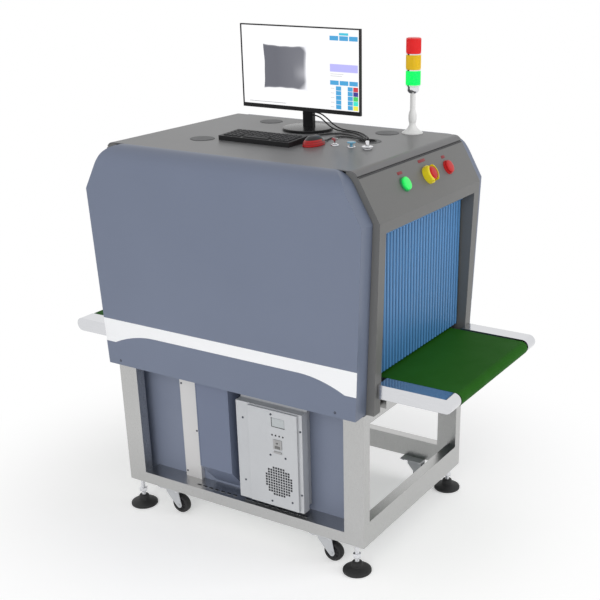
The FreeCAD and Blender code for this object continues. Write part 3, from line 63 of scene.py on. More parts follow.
class Body(Enum):
    """Bodies that the classes name, other than those of a set of alike pieces."""

    MACHINE = "machine"
    MONITOR = "monitor"
    KEYS = "keyboard_keys"
    OUT_CURTAIN = "outfeed_curtain"
    IN_CURTAIN = "infeed_curtain"


class Pattern(Enum):
    """What a finish shows up close."""

    PAINT = "paint"
    BRUSHED = "brushed"
    RUBBER = "rubber"
    MOULDED = "moulded"
    BELT = "belt"


def srgb(red: int, green: int, blue: int) -> Color:
    """Linear colour of a display colour given as 0 to 255.

    Args:
        red: Its red, 0 to 255.
        green: Its green.
        blue: Its blue.

    Returns:
        The three linear shares.
    """
    shares = np.array([red, green, blue]) / 255.0
    linear = np.where(shares <= 0.04045, shares / 12.92, ((shares + 0.055) / 1.055) ** 2.4)
    return tuple(float(c) for c in linear)


# Shapes.


@dataclass
class Surface:
    """Points and faces of a shape before it becomes an object."""

    points: np.ndarray
    faces: list

    def placed(self, matrix: Matrix) -> "Surface":
        """The same shape moved by a matrix."""
        turn = np.array(matrix.to_3x3())
        return Surface(self.points @ turn.T + np.array(matrix.translation), self.faces)


def joined(shapes: list[Surface]) -> Surface:
    """All the shapes as one.

    Args:
        shapes: The shapes to join.

    Returns:
        One surface with all their points and faces.
    """
    starts = np.cumsum([0] + [len(shape.points) for shape in shapes])
    faces = [tuple(int(i + start) for i in face) for shape, start in zip(shapes, starts)
             for face in shape.faces]
    return Surface(np.vstack([shape.points for shape in shapes]), faces)


def lattice(points: np.ndarray, wrap_rows: bool = False, wrap_columns: bool = False) -> Surface:
    """Quads over a grid of points.

    Args:
        points: Array of rows, columns and the three coordinates.
        wrap_rows: Joins the last row to the first.
        wrap_columns: Joins the last column to the first.

    Returns:
        The surface over the grid.
    """
    rows, columns = points.shape[:2]
    index = np.arange(rows * columns).reshape(rows, columns)
    if wrap_rows:
        index = np.vstack([index, index[:1]])
    if wrap_columns:
        index = np.hstack([index, index[:, :1]])
    quads = np.stack([index[:-1, :-1], index[1:, :-1], index[1:, 1:], index[:-1, 1:]], axis=-1)
    return Surface(points.reshape(-1, 3), quads.reshape(-1, 4).tolist())


def aimed(origin: Point, direction: Point) -> Matrix:
    """A place whose own Z axis points along a direction."""
    turn = Vector(direction).to_track_quat("Z", "Y").to_matrix().to_4x4()
    return Matrix.Translation(Vector(origin)) @ turn


def lathe(profile: list[tuple[float, float]], place: Matrix, segments: int = 48, flutes: int = 0,
          depth: float = 0.0) -> Surface:
    """A profile turned about the Z axis of a place.

    Each point is (r cos a, r sin a, z), and flutes take depth * (1 - cos(flutes * a)) / 2 from r.

    Args:
        profile: Pairs of radius and height.
        place: Where the axis stands.
        segments: Steps around the axis.
        flutes: Number of grooves around.
        depth: Depth of a groove.

    Returns:
        The turned surface.
    """
    angle = np.linspace(0, 2 * np.pi, segments, endpoint=False)[:, None]
    radius, height = np.array(profile).T
    reach = radius[None, :] - depth * (1 - np.cos(flutes * angle)) / 2 * (radius[None, :] > depth * 2)
    points = np.stack([reach * np.cos(angle), reach * np.sin(angle), np.broadcast_to(height, reach.shape)],
                      axis=-1)
    return lattice(points, wrap_rows=True).placed(place)


def rounded_box(low: Point, high: Point, radius: float, steps: int = 2) -> Surface:
    """A box with round edges.

    Every point is the box's corner of its octant, drawn in by the radius, plus radius times the unit vector
    (cos t cos a, cos t sin a, sin t). Each quarter turn keeps its own corner, which leaves the flats between.

    Args:
        low: The corner of least x, y and z.
        high: The corner of most x, y and z.
        radius: Of the round edges.
        steps: Facets of each quarter turn.

    Returns:
        The closed box.
    """
    low_point, high_point = np.array(low), np.array(high)
    centre, half = (low_point + high_point) / 2, (high_point - low_point) / 2 - radius
    quarter = np.linspace(0, np.pi / 2, steps + 1)
    around = np.concatenate([quarter + k * np.pi / 2 for k in range(4)])
    sign_x = np.repeat([1, -1, -1, 1], steps + 1)
    sign_y = np.repeat([1, 1, -1, -1], steps + 1)
    tilt = np.concatenate([quarter[::-1], -quarter])
    sign_z = np.repeat([1, -1], steps + 1)
    unit = np.stack([np.cos(tilt)[:, None] * np.cos(around), np.cos(tilt)[:, None] * np.sin(around),
                     np.broadcast_to(np.sin(tilt)[:, None], (len(tilt), len(around)))], axis=-1)
    corner = np.stack(np.broadcast_arrays(sign_x[None, :], sign_y[None, :], sign_z[:, None]), axis=-1) * half
    shape = lattice(centre + corner + radius * unit, wrap_columns=True)
    count = len(around)
    last = (len(tilt) - 1) * count
    caps = [tuple(k * (steps + 1) for k in range(4)), tuple(last + k * (steps + 1) for k in (3, 2, 1, 0))]
    return Surface(shape.points, shape.faces + caps)


def prism(outline: list[tuple[float, float]], low: float, high: float, place: Matrix) -> Surface:
    """An outline in a place's XY, extruded from one height to another.

    Args:
        outline: Pairs of x and y.
        low: Height of the first face.
        high: Height of the last face.
        place: Where the outline lies.

    Returns:
        The closed prism.
    """
    flat = np.array(outline)
    count = len(flat)
    rows = np.stack([np.column_stack([flat, np.full(count, z)]) for z in (low, high)])
    shape = lattice(rows, wrap_columns=True)
    caps = [tuple(range(count - 1, -1, -1)), tuple(range(count, 2 * count))]
    return Surface(shape.points, shape.faces + caps).placed(place)


def screw(place: Matrix, radius: float, tall: float) -> Surface:
    """A pan head whose socket's rim is radius * 0.42 / cos(a - 30 degrees) within each sixth.

    Args:
        place: Its seat, with Z outwards.
        radius: Of the head.
        tall: The head's height.

    Returns:
        The head with its socket.
    """
    head = lathe([(radius * 0.5, tall), (radius * 0.72, tall * 0.98), (radius * 0.93, tall * 0.7),
                  (radius, tall * 0.3), (radius, 0)], place, 24)
    angle = np.linspace(0, 2 * np.pi, 24, endpoint=False)
    hexagon = radius * 0.42 / np.cos((angle % (np.pi / 3)) - np.pi / 6)
    rings = [np.column_stack([r * np.cos(angle), r * np.sin(angle), np.full(24, z)])
             for r, z in ((np.full(24, radius * 0.5), tall), (hexagon, tall * 0.96), (hexagon, tall * 0.35),
                          (np.zeros(24), tall * 0.3))]
    return joined([head, lattice(np.stack(rings, axis=1), wrap_rows=True).placed(place)])


def hexagon_nut(place: Matrix, half: float, low: float, high: float) -> Surface:
    """A nut: a hexagon drawn in at both faces.

    Args:
        place: Its axis.
        half: From the axis to a corner.
        low: Height of its foot.
        high: Height of its head.

    Returns:
        The nut.
    """
    angle = np.arange(6) * np.pi / 3
    soft = (high - low) * 0.12
    rings = [np.column_stack([r * np.cos(angle), r * np.sin(angle), np.full(6, z)])
             for r, z in ((0, low), (half * 0.9, low), (half, low + soft), (half, high - soft),
                          (half * 0.9, high), (0, high))]
    return lattice(np.stack(rings, axis=1), wrap_rows=True).placed(place)


# Finishes.


class Graph:
    """A node tree that is filled step by step."""

    def __init__(self, tree: bpy.types.NodeTree) -> None:
        """Keeps the tree."""
        self.tree = tree

    def add(self, kind: str, inputs: dict | None = None, **settings: object) -> bpy.types.Node:
        """A node with its settings, and values or sources for its inputs.

        Args:
            kind: The node's type.
            inputs: A value or a source for each input.
            settings: Values of the node's own settings.

        Returns:
            The new node.
        """
        node = self.tree.nodes.new(kind)
        for name, value in settings.items():
            setattr(node, name, value)
        for name, value in (inputs or {}).items():
            if isinstance(value, Socket):
                self.tree.links.new(value, node.inputs[name])
            else:
                node.inputs[name].default_value = value
        return node

    def math(self, operation: str, first: Source, second: Source = 0.0, clamp: bool = False) -> Socket:
        """The outcome of one sum on two values or sockets."""
        node = self.add("ShaderNodeMath", {0: first, 1: second}, operation=operation, use_clamp=clamp)
        return node.outputs[0]

    def spread(self, value: Source, low: float, high: float, to_low: float, to_high: float,
               smooth: bool = False) -> Socket:
        """A value moved from one range to another.

        Args:
            value: What is moved.
            low: Foot of its range.
            high: Head of its range.
            to_low: Foot of the new range.
            to_high: Head of the new range.
            smooth: Eases both ends.

        Returns:
            The moved value.
        """
        node = self.add("ShaderNodeMapRange",
                        {"Value": value, "From Min": low, "From Max": high, "To Min": to_low,
                                               "To Max": to_high},
                        interpolation_type="SMOOTHSTEP" if smooth else "LINEAR")
        return node.outputs["Result"]

    def blend(self, share: Source, first: Tone, second: Tone) -> Socket:
        """A mix of two colours.

        Args:
            share: Of the second colour.
            first: One colour.
            second: The other colour.

        Returns:
            The mixed colour.
        """
        node = self.add("ShaderNodeMix", data_type="RGBA")
        for index, value in ((0, share), (6, first), (7, second)):
            if isinstance(value, Socket):
                self.tree.links.new(value, node.inputs[index])
            elif index == 0:
                node.inputs[index].default_value = value
            else:
                node.inputs[index].default_value = (*value[:3], 1)
        return node.outputs[2]


def new_group(name: str, inputs: dict[str, str],
              outputs: dict[str, str]) -> tuple[Graph, bpy.types.Node, bpy.types.Node]:
    """A node group with named sockets.

    Args:
        name: The group's name.
        inputs: Socket names and types that go in.
        outputs: Socket names and types that come out.

    Returns:
        The graph, its input node and its output node.
    """
    tree = bpy.data.node_groups.new(name, "ShaderNodeTree")
    for sockets, way in ((inputs, "INPUT"), (outputs, "OUTPUT")):
        for socket, kind in sockets.items():
            tree.interface.new_socket(socket, in_out=way, socket_type=kind)
    graph = Graph(tree)
    return graph, graph.add("NodeGroupInput"), graph.add("NodeGroupOutput")


FLOAT, VECTOR, COLOR = "NodeSocketFloat", "NodeSocketVector", "NodeSocketColor"


def make_grain() -> bpy.types.NodeTree:
    """Fine marks stretched along one way, from 0 to 1.

    Returns:
        The node group.
    """
    graph, given, out = new_group("fine grain", {"Vector": VECTOR, "Stretch": VECTOR, "Detail": FLOAT},
                                  {"Value": FLOAT})
    scaled = graph.add("ShaderNodeVectorMath", {0: given.outputs["Vector"], 1: given.outputs["Stretch"]},
                       operation="MULTIPLY")
    noise = graph.add("ShaderNodeTexNoise", {"Vector": scaled.outputs[0], "Scale": 1.0,
                                             "Detail": given.outputs["Detail"], "Roughness": 0.6})
    graph.tree.links.new(noise.outputs["Fac"], out.inputs["Value"])
    return graph.tree


def make_handling() -> bpy.types.NodeTree:
    """Faint cloudy marks of wiping and handling, on colour and roughness.

    Returns:
        The node group.
    """
    graph, given, out = new_group(
        "handling marks", {"Vector": VECTOR, "Color": COLOR, "Roughness": FLOAT, "Amount": FLOAT,
                           "Scale": FLOAT},
        {"Color": COLOR, "Roughness": FLOAT})
    cloud = graph.add("ShaderNodeTexNoise",
                      {"Vector": given.outputs["Vector"], "Scale": given.outputs["Scale"],
                                             "Detail": 5.0, "Roughness": 0.62, "Distortion": 0.4})
    share = graph.math("MULTIPLY", graph.spread(cloud.outputs["Fac"], 0.35, 0.7, 0.0, 1.0),
                       given.outputs["Amount"])
    darker = graph.add("ShaderNodeVectorMath", {0: given.outputs["Color"], 1: (0.72, 0.72, 0.73)},
                       operation="MULTIPLY")
    mixed = graph.blend(share, given.outputs["Color"], darker.outputs[0])
    rough = graph.math("ADD", given.outputs["Roughness"], graph.math("MULTIPLY", share, 0.22), clamp=True)
    graph.tree.links.new(mixed, out.inputs["Color"])
    graph.tree.links.new(rough, out.inputs["Roughness"])
    return graph.tree


def make_edges() -> bpy.types.NodeTree:
    """Rounded shading along sharp edges, and a mask of those edges, along which the finishes paint a
    highlight.

    Returns:
        The node group.
    """
    graph, given, out = new_group("soft edges", {"Radius": FLOAT}, {"Normal": VECTOR, "Edge": FLOAT})
    bevel = graph.add("ShaderNodeBevel", {"Radius": given.outputs["Radius"]}, samples=4)
    flat = graph.add("ShaderNodeNewGeometry")
    dot = graph.add("ShaderNodeVectorMath", {0: bevel.outputs[0], 1: flat.outputs["Normal"]},
                    operation="DOT_PRODUCT")
    graph.tree.links.new(bevel.outputs[0], out.inputs["Normal"])
    graph.tree.links.new(graph.spread(dot.outputs["Value"], 0.995, 0.8, 0.0, 1.0), out.inputs["Edge"])
    return graph.tree


GRAIN = make_grain()
HANDLING = make_handling()
EDGES = make_edges()


@dataclass(frozen=True)
class Finish:
    """One finish: its colour, its shine and what it shows up close."""

    name: str
    color: Color
    roughness: float = 0.4
    metallic: float = 0.0
    pattern: Pattern = Pattern.PAINT
    coat: float = 0.0
    stretch: Point = (900.0, 900.0, 900.0)
    relief: float = 0.05
    marks: float = 0.25
    marks_scale: float = 4.0
    edge_radius: float = 0.0012
    # Share of the painted highlight that lightens the colour along sharp edges.
    edge_highlight: float = 0.12
    glow: float = 0.0
    specular: float = 0.5

    def pigment(self, graph: Graph, vector: Socket) -> Socket:
        """The colour before wear, varied a little over the surface.

        Args:
            graph: The material's nodes.
            vector: Object coordinates.

        Returns:
            The colour.
        """
        noise = graph.add("ShaderNodeTexNoise", {"Vector": vector, "Scale": 2.3, "Detail": 2.0})
        lighter = tuple(min(1.0, c * 1.05 + 0.004) for c in self.color)
        return graph.blend(noise.outputs["Fac"], tuple(c * 0.96 for c in self.color), lighter)

    def material(self) -> bpy.types.Material:
        """The material, made once.

        Returns:
            The material.
        """
        known = bpy.data.materials.get(self.name)
        if known:
            return known
        material = bpy.data.materials.new(self.name)
        material.use_nodes = True
        material.node_tree.nodes.clear()
        graph = Graph(material.node_tree)
        vector = graph.add("ShaderNodeTexCoord").outputs["Object"]
        grain = graph.add("ShaderNodeGroup", node_tree=GRAIN)
        grain.inputs["Stretch"].default_value = self.stretch
        grain.inputs["Detail"].default_value = 3.0
        graph.tree.links.new(vector, grain.inputs["Vector"])
        handling = graph.add("ShaderNodeGroup", node_tree=HANDLING)
        for name, value in (("Roughness", self.roughness), ("Amount", self.marks),
                            ("Scale", self.marks_scale)):
            handling.inputs[name].default_value = value
        graph.tree.links.new(vector, handling.inputs["Vector"])
        graph.tree.links.new(self.pigment(graph, vector), handling.inputs["Color"])
        edges = graph.add("ShaderNodeGroup", node_tree=EDGES)
        edges.inputs["Radius"].default_value = self.edge_radius
        bump = graph.add("ShaderNodeBump", {"Strength": self.relief, "Distance": 0.001,
                                            "Height": grain.outputs["Value"],
                                            "Normal": edges.outputs["Normal"]})
        color = handling.outputs["Color"]
        if self.pattern in (Pattern.BRUSHED, Pattern.BELT):
            shade = graph.spread(grain.outputs["Value"], 0.3, 0.7, 0.0, 1.0)
            dim = graph.add("ShaderNodeVectorMath", {0: color, 1: (0.94, 0.94, 0.94)}, operation="MULTIPLY")
            color = graph.blend(shade, dim.outputs[0], color)
        # Painted highlight: the colour is lightened towards 1.5 times itself along sharp edges, where the
        # soft edges group finds them.
        lit = graph.math("MULTIPLY", edges.outputs["Edge"], self.edge_highlight)
        color = graph.blend(lit, color, tuple(min(1.0, c * 1.5 + 0.05) for c in self.color))
        rough = handling.outputs["Roughness"]
        if self.pattern is Pattern.BRUSHED:
            rough = graph.math("ADD", rough, graph.spread(grain.outputs["Value"], 0.3, 0.7, -0.06, 0.06))
        shader = graph.add("ShaderNodeBsdfPrincipled", {
            "Base Color": color, "Roughness": rough, "Metallic": self.metallic, "Coat Weight": self.coat,
            "Coat Roughness": 0.12, "Specular IOR Level": self.specular, "Normal": bump.outputs[0]})
        if self.glow:
            shader.inputs["Emission Color"].default_value = (*self.color, 1)
            shader.inputs["Emission Strength"].default_value = self.glow
        graph.add("ShaderNodeOutputMaterial", {"Surface": shader.outputs[0]})
        return material


@dataclass(frozen=True)
class BandedPaint(Finish):
    """Cover paint with a white band whose lower edge drops towards both ends."""

    band_color: Color = srgb(246, 247, 249)
    band_top: float = 0.795
    band_middle: float = 0.7505
    band_end: float = 0.707
    curve_start: float = 0.305
    curve_end: float = 0.490
    face: float = 0.4288

    def pigment(self, graph: Graph, vector: Socket) -> Socket:
        """White on the flat face, from a straight top to a lower edge that drops by a share squared of |x|.

        Args:
            graph: The material's nodes.
            vector: Object coordinates.

        Returns:
            The colour.
        """
        plain = super().pigment(graph, vector)
        axes = graph.add("ShaderNodeSeparateXYZ", {0: vector})
        along = graph.math("ABSOLUTE", axes.outputs["X"])
        share = graph.spread(along, self.curve_start, self.curve_end, 0.0, 1.0)
        drop = graph.math("MULTIPLY", graph.math("MULTIPLY", share, share), self.band_middle - self.band_end)
        lower = graph.math("SUBTRACT", self.band_middle, drop)
        above = graph.math("GREATER_THAN", axes.outputs["Z"], lower)
        under = graph.math("LESS_THAN", axes.outputs["Z"], self.band_top)
        outside = graph.math("GREATER_THAN", graph.math("ABSOLUTE", axes.outputs["Y"]), self.face)
        mask = graph.math("MULTIPLY", graph.math("MULTIPLY", above, under), outside)
        return graph.blend(mask, plain, self.band_color)


@dataclass(frozen=True)
class PaintedPoints(Finish):
    """A finish whose colour is kept on the mesh, for the screen's picture."""

    attribute: str = "tone"

    def pigment(self, graph: Graph, vector: Socket) -> Socket:
        """The colour that the mesh carries."""
        return graph.add("ShaderNodeAttribute", attribute_name=self.attribute).outputs["Color"]

    def material(self) -> bpy.types.Material:
        """A lit screen with a thin gloss.

        Returns:
            The material.
        """
        known = bpy.data.materials.get(self.name)
        if known:
            return known
        material = bpy.data.materials.new(self.name)
        material.use_nodes = True
        material.node_tree.nodes.clear()
        graph = Graph(material.node_tree)
        vector = graph.add("ShaderNodeTexCoord").outputs["Object"]
        tone = self.pigment(graph, vector)
        dots = graph.add("ShaderNodeTexNoise", {"Vector": vector, "Scale": 900.0})
        soft = graph.blend(graph.spread(dots.outputs["Fac"], 0.3, 0.7, 0.0, 0.05), tone, (0.5, 0.5, 0.55))
        shader = graph.add("ShaderNodeBsdfPrincipled", {
            "Base Color": (0.02, 0.02, 0.02, 1), "Roughness": self.roughness, "Emission Color": soft,
            "Emission Strength": self.glow})
        graph.add("ShaderNodeOutputMaterial", {"Surface": shader.outputs[0]})
        return material


@dataclass(frozen=True)
class Ribbed(Finish):
    """A sheet of upright ribs, with painted shade in the grooves between them."""

    groove_shade_color: Color = srgb(54, 102, 150)
    pitch: float = 0.02093
    start: float = -0.314

    def pigment(self, graph: Graph, vector: Socket) -> Socket:
        """The share of painted shade in the grooves is a smooth step of |2 fract((y - start) / pitch) - 1|.

        Args:
            graph: The material's nodes.
            vector: Object coordinates.

        Returns:
            The colour.
        """
        plain = super().pigment(graph, vector)
        across = graph.math("SUBTRACT", graph.add("ShaderNodeSeparateXYZ", {0: vector}).outputs["Y"],
                            self.start)
        turn = graph.math("FRACT", graph.math("DIVIDE", across, self.pitch))
        depth = graph.math("ABSOLUTE", graph.math("SUBTRACT", graph.math("MULTIPLY", turn, 2.0), 1.0))
        # Painted shade: each strip darkens towards its edges, where the grooves between strips are.
        return graph.blend(graph.spread(depth, 0.25, 0.95, 0.0, 1.0, smooth=True), plain, self.groove_shade_color)


@dataclass(frozen=True)
class TwoTone(Finish):
    """A moulded shell that changes colour at a height, such as the mouse."""

    upper: Color = srgb(24, 24, 27)
    height: float = 1.439

    def pigment(self, graph: Graph, vector: Socket) -> Socket:
        """The upper colour above the height, with thin dark grooves under it.

        Args:
            graph: The material's nodes.
            vector: Object coordinates.

        Returns:
            The colour.
        """
        plain = super().pigment(graph, vector)
        axes = graph.add("ShaderNodeSeparateXYZ", {0: vector})
        groove = graph.math("GREATER_THAN",
                            graph.math("SINE", graph.math("MULTIPLY", axes.outputs["Z"], 900.0)), 0.8)
        banded = graph.blend(groove, plain, tuple(c * 0.35 for c in self.color))
        return graph.blend(graph.math("GREATER_THAN", axes.outputs["Z"], self.height), banded, self.upper)


STEEL = Finish("brushed stainless", srgb(190, 190, 189), 0.3, 1.0, Pattern.BRUSHED, stretch=(60, 900, 900),
               relief=0.012,
               marks=0.05)
STEEL_UPRIGHT = Finish("brushed stainless upright", srgb(190, 190, 189), 0.3, 1.0, Pattern.BRUSHED,
                       relief=0.012,
                       stretch=(900, 900, 40), marks=0.05)
COVER = BandedPaint("cover paint", srgb(113, 122, 142), 0.36, coat=0.12, marks=0.08, marks_scale=1.6,
                    relief=0.03,
                    specular=0.3)
RECESS = Finish("recess paint", srgb(112, 121, 143), 0.4, coat=0.1, marks=0.12, specular=0.3)
# Painted light: the recess paint painted lighter for the front base panel, which sits in shade under the
# cover.
RECESS_LIT_COPY = Finish("recess paint painted lighter", srgb(126, 134, 153), 0.42, marks=0.12, specular=0.3)
PALE = Finish("pale grey paint", srgb(196, 198, 201), 0.38, coat=0.15, marks=0.15)
DECK = Finish("deck paint", srgb(113, 113, 114), 0.36, coat=0.05, specular=0.25, marks=0.1, marks_scale=2.0,
              relief=0.03)
HOUSING = Finish("housing paint", srgb(112, 112, 111), 0.4, coat=0.05, specular=0.3, marks=0.12,
                 marks_scale=2.0)
DISC = Finish("deck disc", srgb(86, 87, 89), 0.45, specular=0.25, marks=0.3, marks_scale=20)
BED = Finish("bed sheet", srgb(50, 52, 54), 0.45, 0.6)
LEAD = Finish("tunnel lining", srgb(150, 155, 160), 0.4, 0.3, marks=0.3)
RAIL = Finish("bright rail", srgb(216, 217, 220), 0.09, 1.0, Pattern.BRUSHED, stretch=(30, 900, 900),
              marks=0.06)
BELT = Finish("green belt", srgb(36, 96, 20), 0.6, 0.0, Pattern.BELT, stretch=(700, 700, 700), relief=0.2,
              marks=0.45,
              marks_scale=5, specular=0.08)
CURTAIN = Ribbed("leaded curtain", srgb(82, 140, 194), 0.36, pattern=Pattern.RUBBER, relief=0.08, marks=0.12)
BLACK = Finish("black moulding", srgb(28, 28, 30), 0.4, pattern=Pattern.MOULDED, relief=0.12, marks=0.2,
               marks_scale=9,
               specular=0.25)
GLOSS_BLACK = Finish("gloss black", srgb(22, 22, 24), 0.2, pattern=Pattern.MOULDED, relief=0.02, marks=0.2,
                     specular=0.25)
KEYS = Finish("key caps", srgb(40, 40, 42), 0.46, pattern=Pattern.MOULDED, relief=0.15, marks=0.2,
              marks_scale=30,
              edge_radius=0.0006, specular=0.25)
MOUSE = TwoTone("mouse shell", srgb(178, 20, 26), 0.3, coat=0.1, specular=0.3, edge_radius=0.0006)
MOUSE_TOP = Finish("mouse top", srgb(26, 26, 29), 0.36, pattern=Pattern.MOULDED, edge_radius=0.0006)
LEAD_BLACK = Finish("cable sheath", srgb(24, 24, 25), 0.42, pattern=Pattern.RUBBER, edge_radius=0.0003,
                    marks=0.2)
RED = Finish("red button", srgb(198, 22, 22), 0.34, coat=0.1, specular=0.3, marks=0.15, edge_radius=0.0006)
GREEN_SIDE = Finish("green ring", srgb(0, 140, 72), 0.34, coat=0.3, edge_radius=0.0006)
GREEN = Finish("lit green button", srgb(0, 226, 88), 0.3, coat=0.4, glow=0.28, edge_radius=0.0006)
YELLOW = Finish("yellow guard", srgb(238, 218, 24), 0.32, coat=0.3, marks=0.15, edge_radius=0.001)
CHROME = Finish("chrome", srgb(226, 227, 230), 0.1, 1.0, Pattern.BRUSHED, stretch=(300, 300, 300), marks=0.1,
                edge_radius=0.0005)
WHITE = Finish("white moulding", srgb(242, 242, 241), 0.34, pattern=Pattern.MOULDED, marks=0.15)
RUBBER = Finish("black rubber", srgb(30, 30, 31), 0.6, pattern=Pattern.RUBBER, relief=0.25, marks=0.4)
TURNED = Finish("turned steel", srgb(180, 182, 186), 0.24, 1.0, Pattern.BRUSHED, stretch=(300, 900, 300))
CAST = Finish("cast alloy", srgb(150, 152, 156), 0.5, 0.6, relief=0.3)
BLUE = Finish("blue button", srgb(104, 170, 202), 0.3, coat=0.4, edge_radius=0.0005)
LENS_RED = Finish("red lens", srgb(222, 32, 34), 0.26, coat=0.1, specular=0.3, glow=0.22, edge_radius=0.0006)
LENS_YELLOW = Finish("yellow lens", srgb(228, 188, 26), 0.26, coat=0.1, specular=0.3, glow=0.18,
                     edge_radius=0.0006)
LENS_GREEN = Finish("green lens", srgb(0, 236, 98), 0.26, coat=0.1, specular=0.3, glow=0.55,
                    edge_radius=0.0006)
SCREEN = PaintedPoints("screen picture", (1.0, 1.0, 1.0), 0.22, glow=1.0)
LEGEND = Finish("legend red", srgb(132, 24, 34), 0.4, edge_radius=0.0003)
ZINC = Finish("zinc sheet", srgb(214, 213, 213), 0.36, 0.35, marks=0.1)
BREAKER = Finish("breaker shell", srgb(168, 168, 168), 0.4, marks=0.1, edge_radius=0.0004)
COVER_SCREW = Finish("cover screw", srgb(44, 48, 60), 0.5, edge_radius=0.0004)
# Painted shade: a dark grey for the shade in narrow gaps and grooves.
GAP_SHADE = Finish("painted gap shade", srgb(62, 62, 64), 0.6, edge_radius=0.0003)
DARK_SCREW = Finish("dark screw", srgb(78, 82, 92), 0.4, 0.5, edge_radius=0.0004)
# Painted shade: a near black for the shade inside vent holes and slots.
OPENING_SHADE = Finish("painted opening shade", srgb(30, 32, 36), 0.7, edge_radius=0.0003)
DISPLAY = Finish("display glass", srgb(182, 187, 189), 0.2, coat=0.4, marks=0.05, edge_radius=0.0004)

CORNERS = {"infeed_front": (-1, -1), "outfeed_front": (1, -1), "infeed_rear": (-1, 1), "outfeed_rear": (1, 1)}
CAD_FINISHES: dict[str, Finish] = {
    "base_frame": STEEL_UPRIGHT, "front_cover": COVER, "rear_cover": COVER, "top_deck": DECK,
    "deck_discs": DISC,
    "outfeed_console": HOUSING, "infeed_console": HOUSING, "end_posts": HOUSING, "front_base_panel": RECESS_LIT_COPY,
    "duct_column": RECESS, "wireway_cover": ZINC, "drive_cabinet": PALE, "caster_mounts": PALE,
    "caster_fork_outfeed_front": PALE, "caster_fork_outfeed_rear": PALE, "tunnel_walls": LEAD,
    "tunnel_roof": LEAD,
    "curtain_rods": TURNED, "conveyor_frame": STEEL, "slider_bed": BED, "belt": BELT, "conveyor_rails": RAIL,
    "drive_roller": TURNED, "tail_roller": TURNED, "xray_generator": CAST, "detector_array": CAST,
    "monitor_stand": GLOSS_BLACK, "monitor": BLACK, "keyboard_case": BLACK, "keyboard_keys": KEYS,
    "mouse_body": MOUSE, "mouse_buttons": MOUSE_TOP, "mouse_wheel": RUBBER, "tower_stand": WHITE,
    "lens_red": LENS_RED, "lens_yellow": LENS_YELLOW, "lens_green": LENS_GREEN, "control_bezels": CHROME,
    "emergency_guard": YELLOW, "start_button": GREEN, "stop_button": RED, "emergency_button": RED,
    "key_switch": CHROME, "deck_button": BLUE, "deck_knob": CHROME, "fan_rotor": BLACK,
    "power_cable": LEAD_BLACK, "video_cable": LEAD_BLACK, "keyboard_cable": LEAD_BLACK,
    "mouse_cable": LEAD_BLACK,
    "outfeed_curtain": CURTAIN, "infeed_curtain": CURTAIN,
    **{f"foot_{corner}": RUBBER for corner in CORNERS},
    **{f"caster_wheel_{corner}": RUBBER for corner in CORNERS},
}


def body_name(body: Body | str) -> str:
    """The name that a body goes by."""
    return body.value if isinstance(body, Body) else body


def make(name: str, shape: Surface, finish: Finish, body: Body | str = Body.MACHINE,
         replaces: tuple[str, ...] = (), closed: bool = True, sharp: float = 35.0,
         tones: np.ndarray | None = None) -> bpy.types.Object:
    """A finished piece from a surface.

    Args:
        name: The piece's name.
        shape: Its surface in place.
        finish: Its finish.
        body: The body it rides on.
        replaces: CAD nodes that it stands for.
        closed: Whether its normals can be worked out from the inside.
        sharp: Edges over this angle in degrees stay sharp.
        tones: One colour for each point, kept as an attribute.

    Returns:
        The new object.
    """
    mesh = bpy.data.meshes.new(name)
    mesh.from_pydata(shape.points.tolist(), [], shape.faces)
    if tones is not None:
        layer = mesh.color_attributes.new("tone", "FLOAT_COLOR", "POINT")
        layer.data.foreach_set("color",
                               np.column_stack([tones, np.ones(len(tones))]).ravel().astype(np.float32))
    else:
        work = bmesh.new()
        work.from_mesh(mesh)
        bmesh.ops.remove_doubles(work, verts=work.verts, dist=MERGE_DISTANCE)
        bmesh.ops.dissolve_degenerate(work, edges=work.edges, dist=NO_LENGTH)
        if closed:
            bmesh.ops.recalc_face_normals(work, faces=work.faces)
        work.to_mesh(mesh)
        work.free()
    mesh.shade_smooth()
    mesh.set_sharp_from_angle(angle=math.radians(sharp))
    item = bpy.data.objects.new(name, mesh)
    bpy.context.scene.collection.objects.link(item)
    mesh.materials.append(finish.material())
    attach(item, body_name(body))
    if replaces:
        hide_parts(*replaces)
    LOG.info("%s: %d faces on %s", name, len(mesh.polygons), body_name(body))
    return item


# Cables.


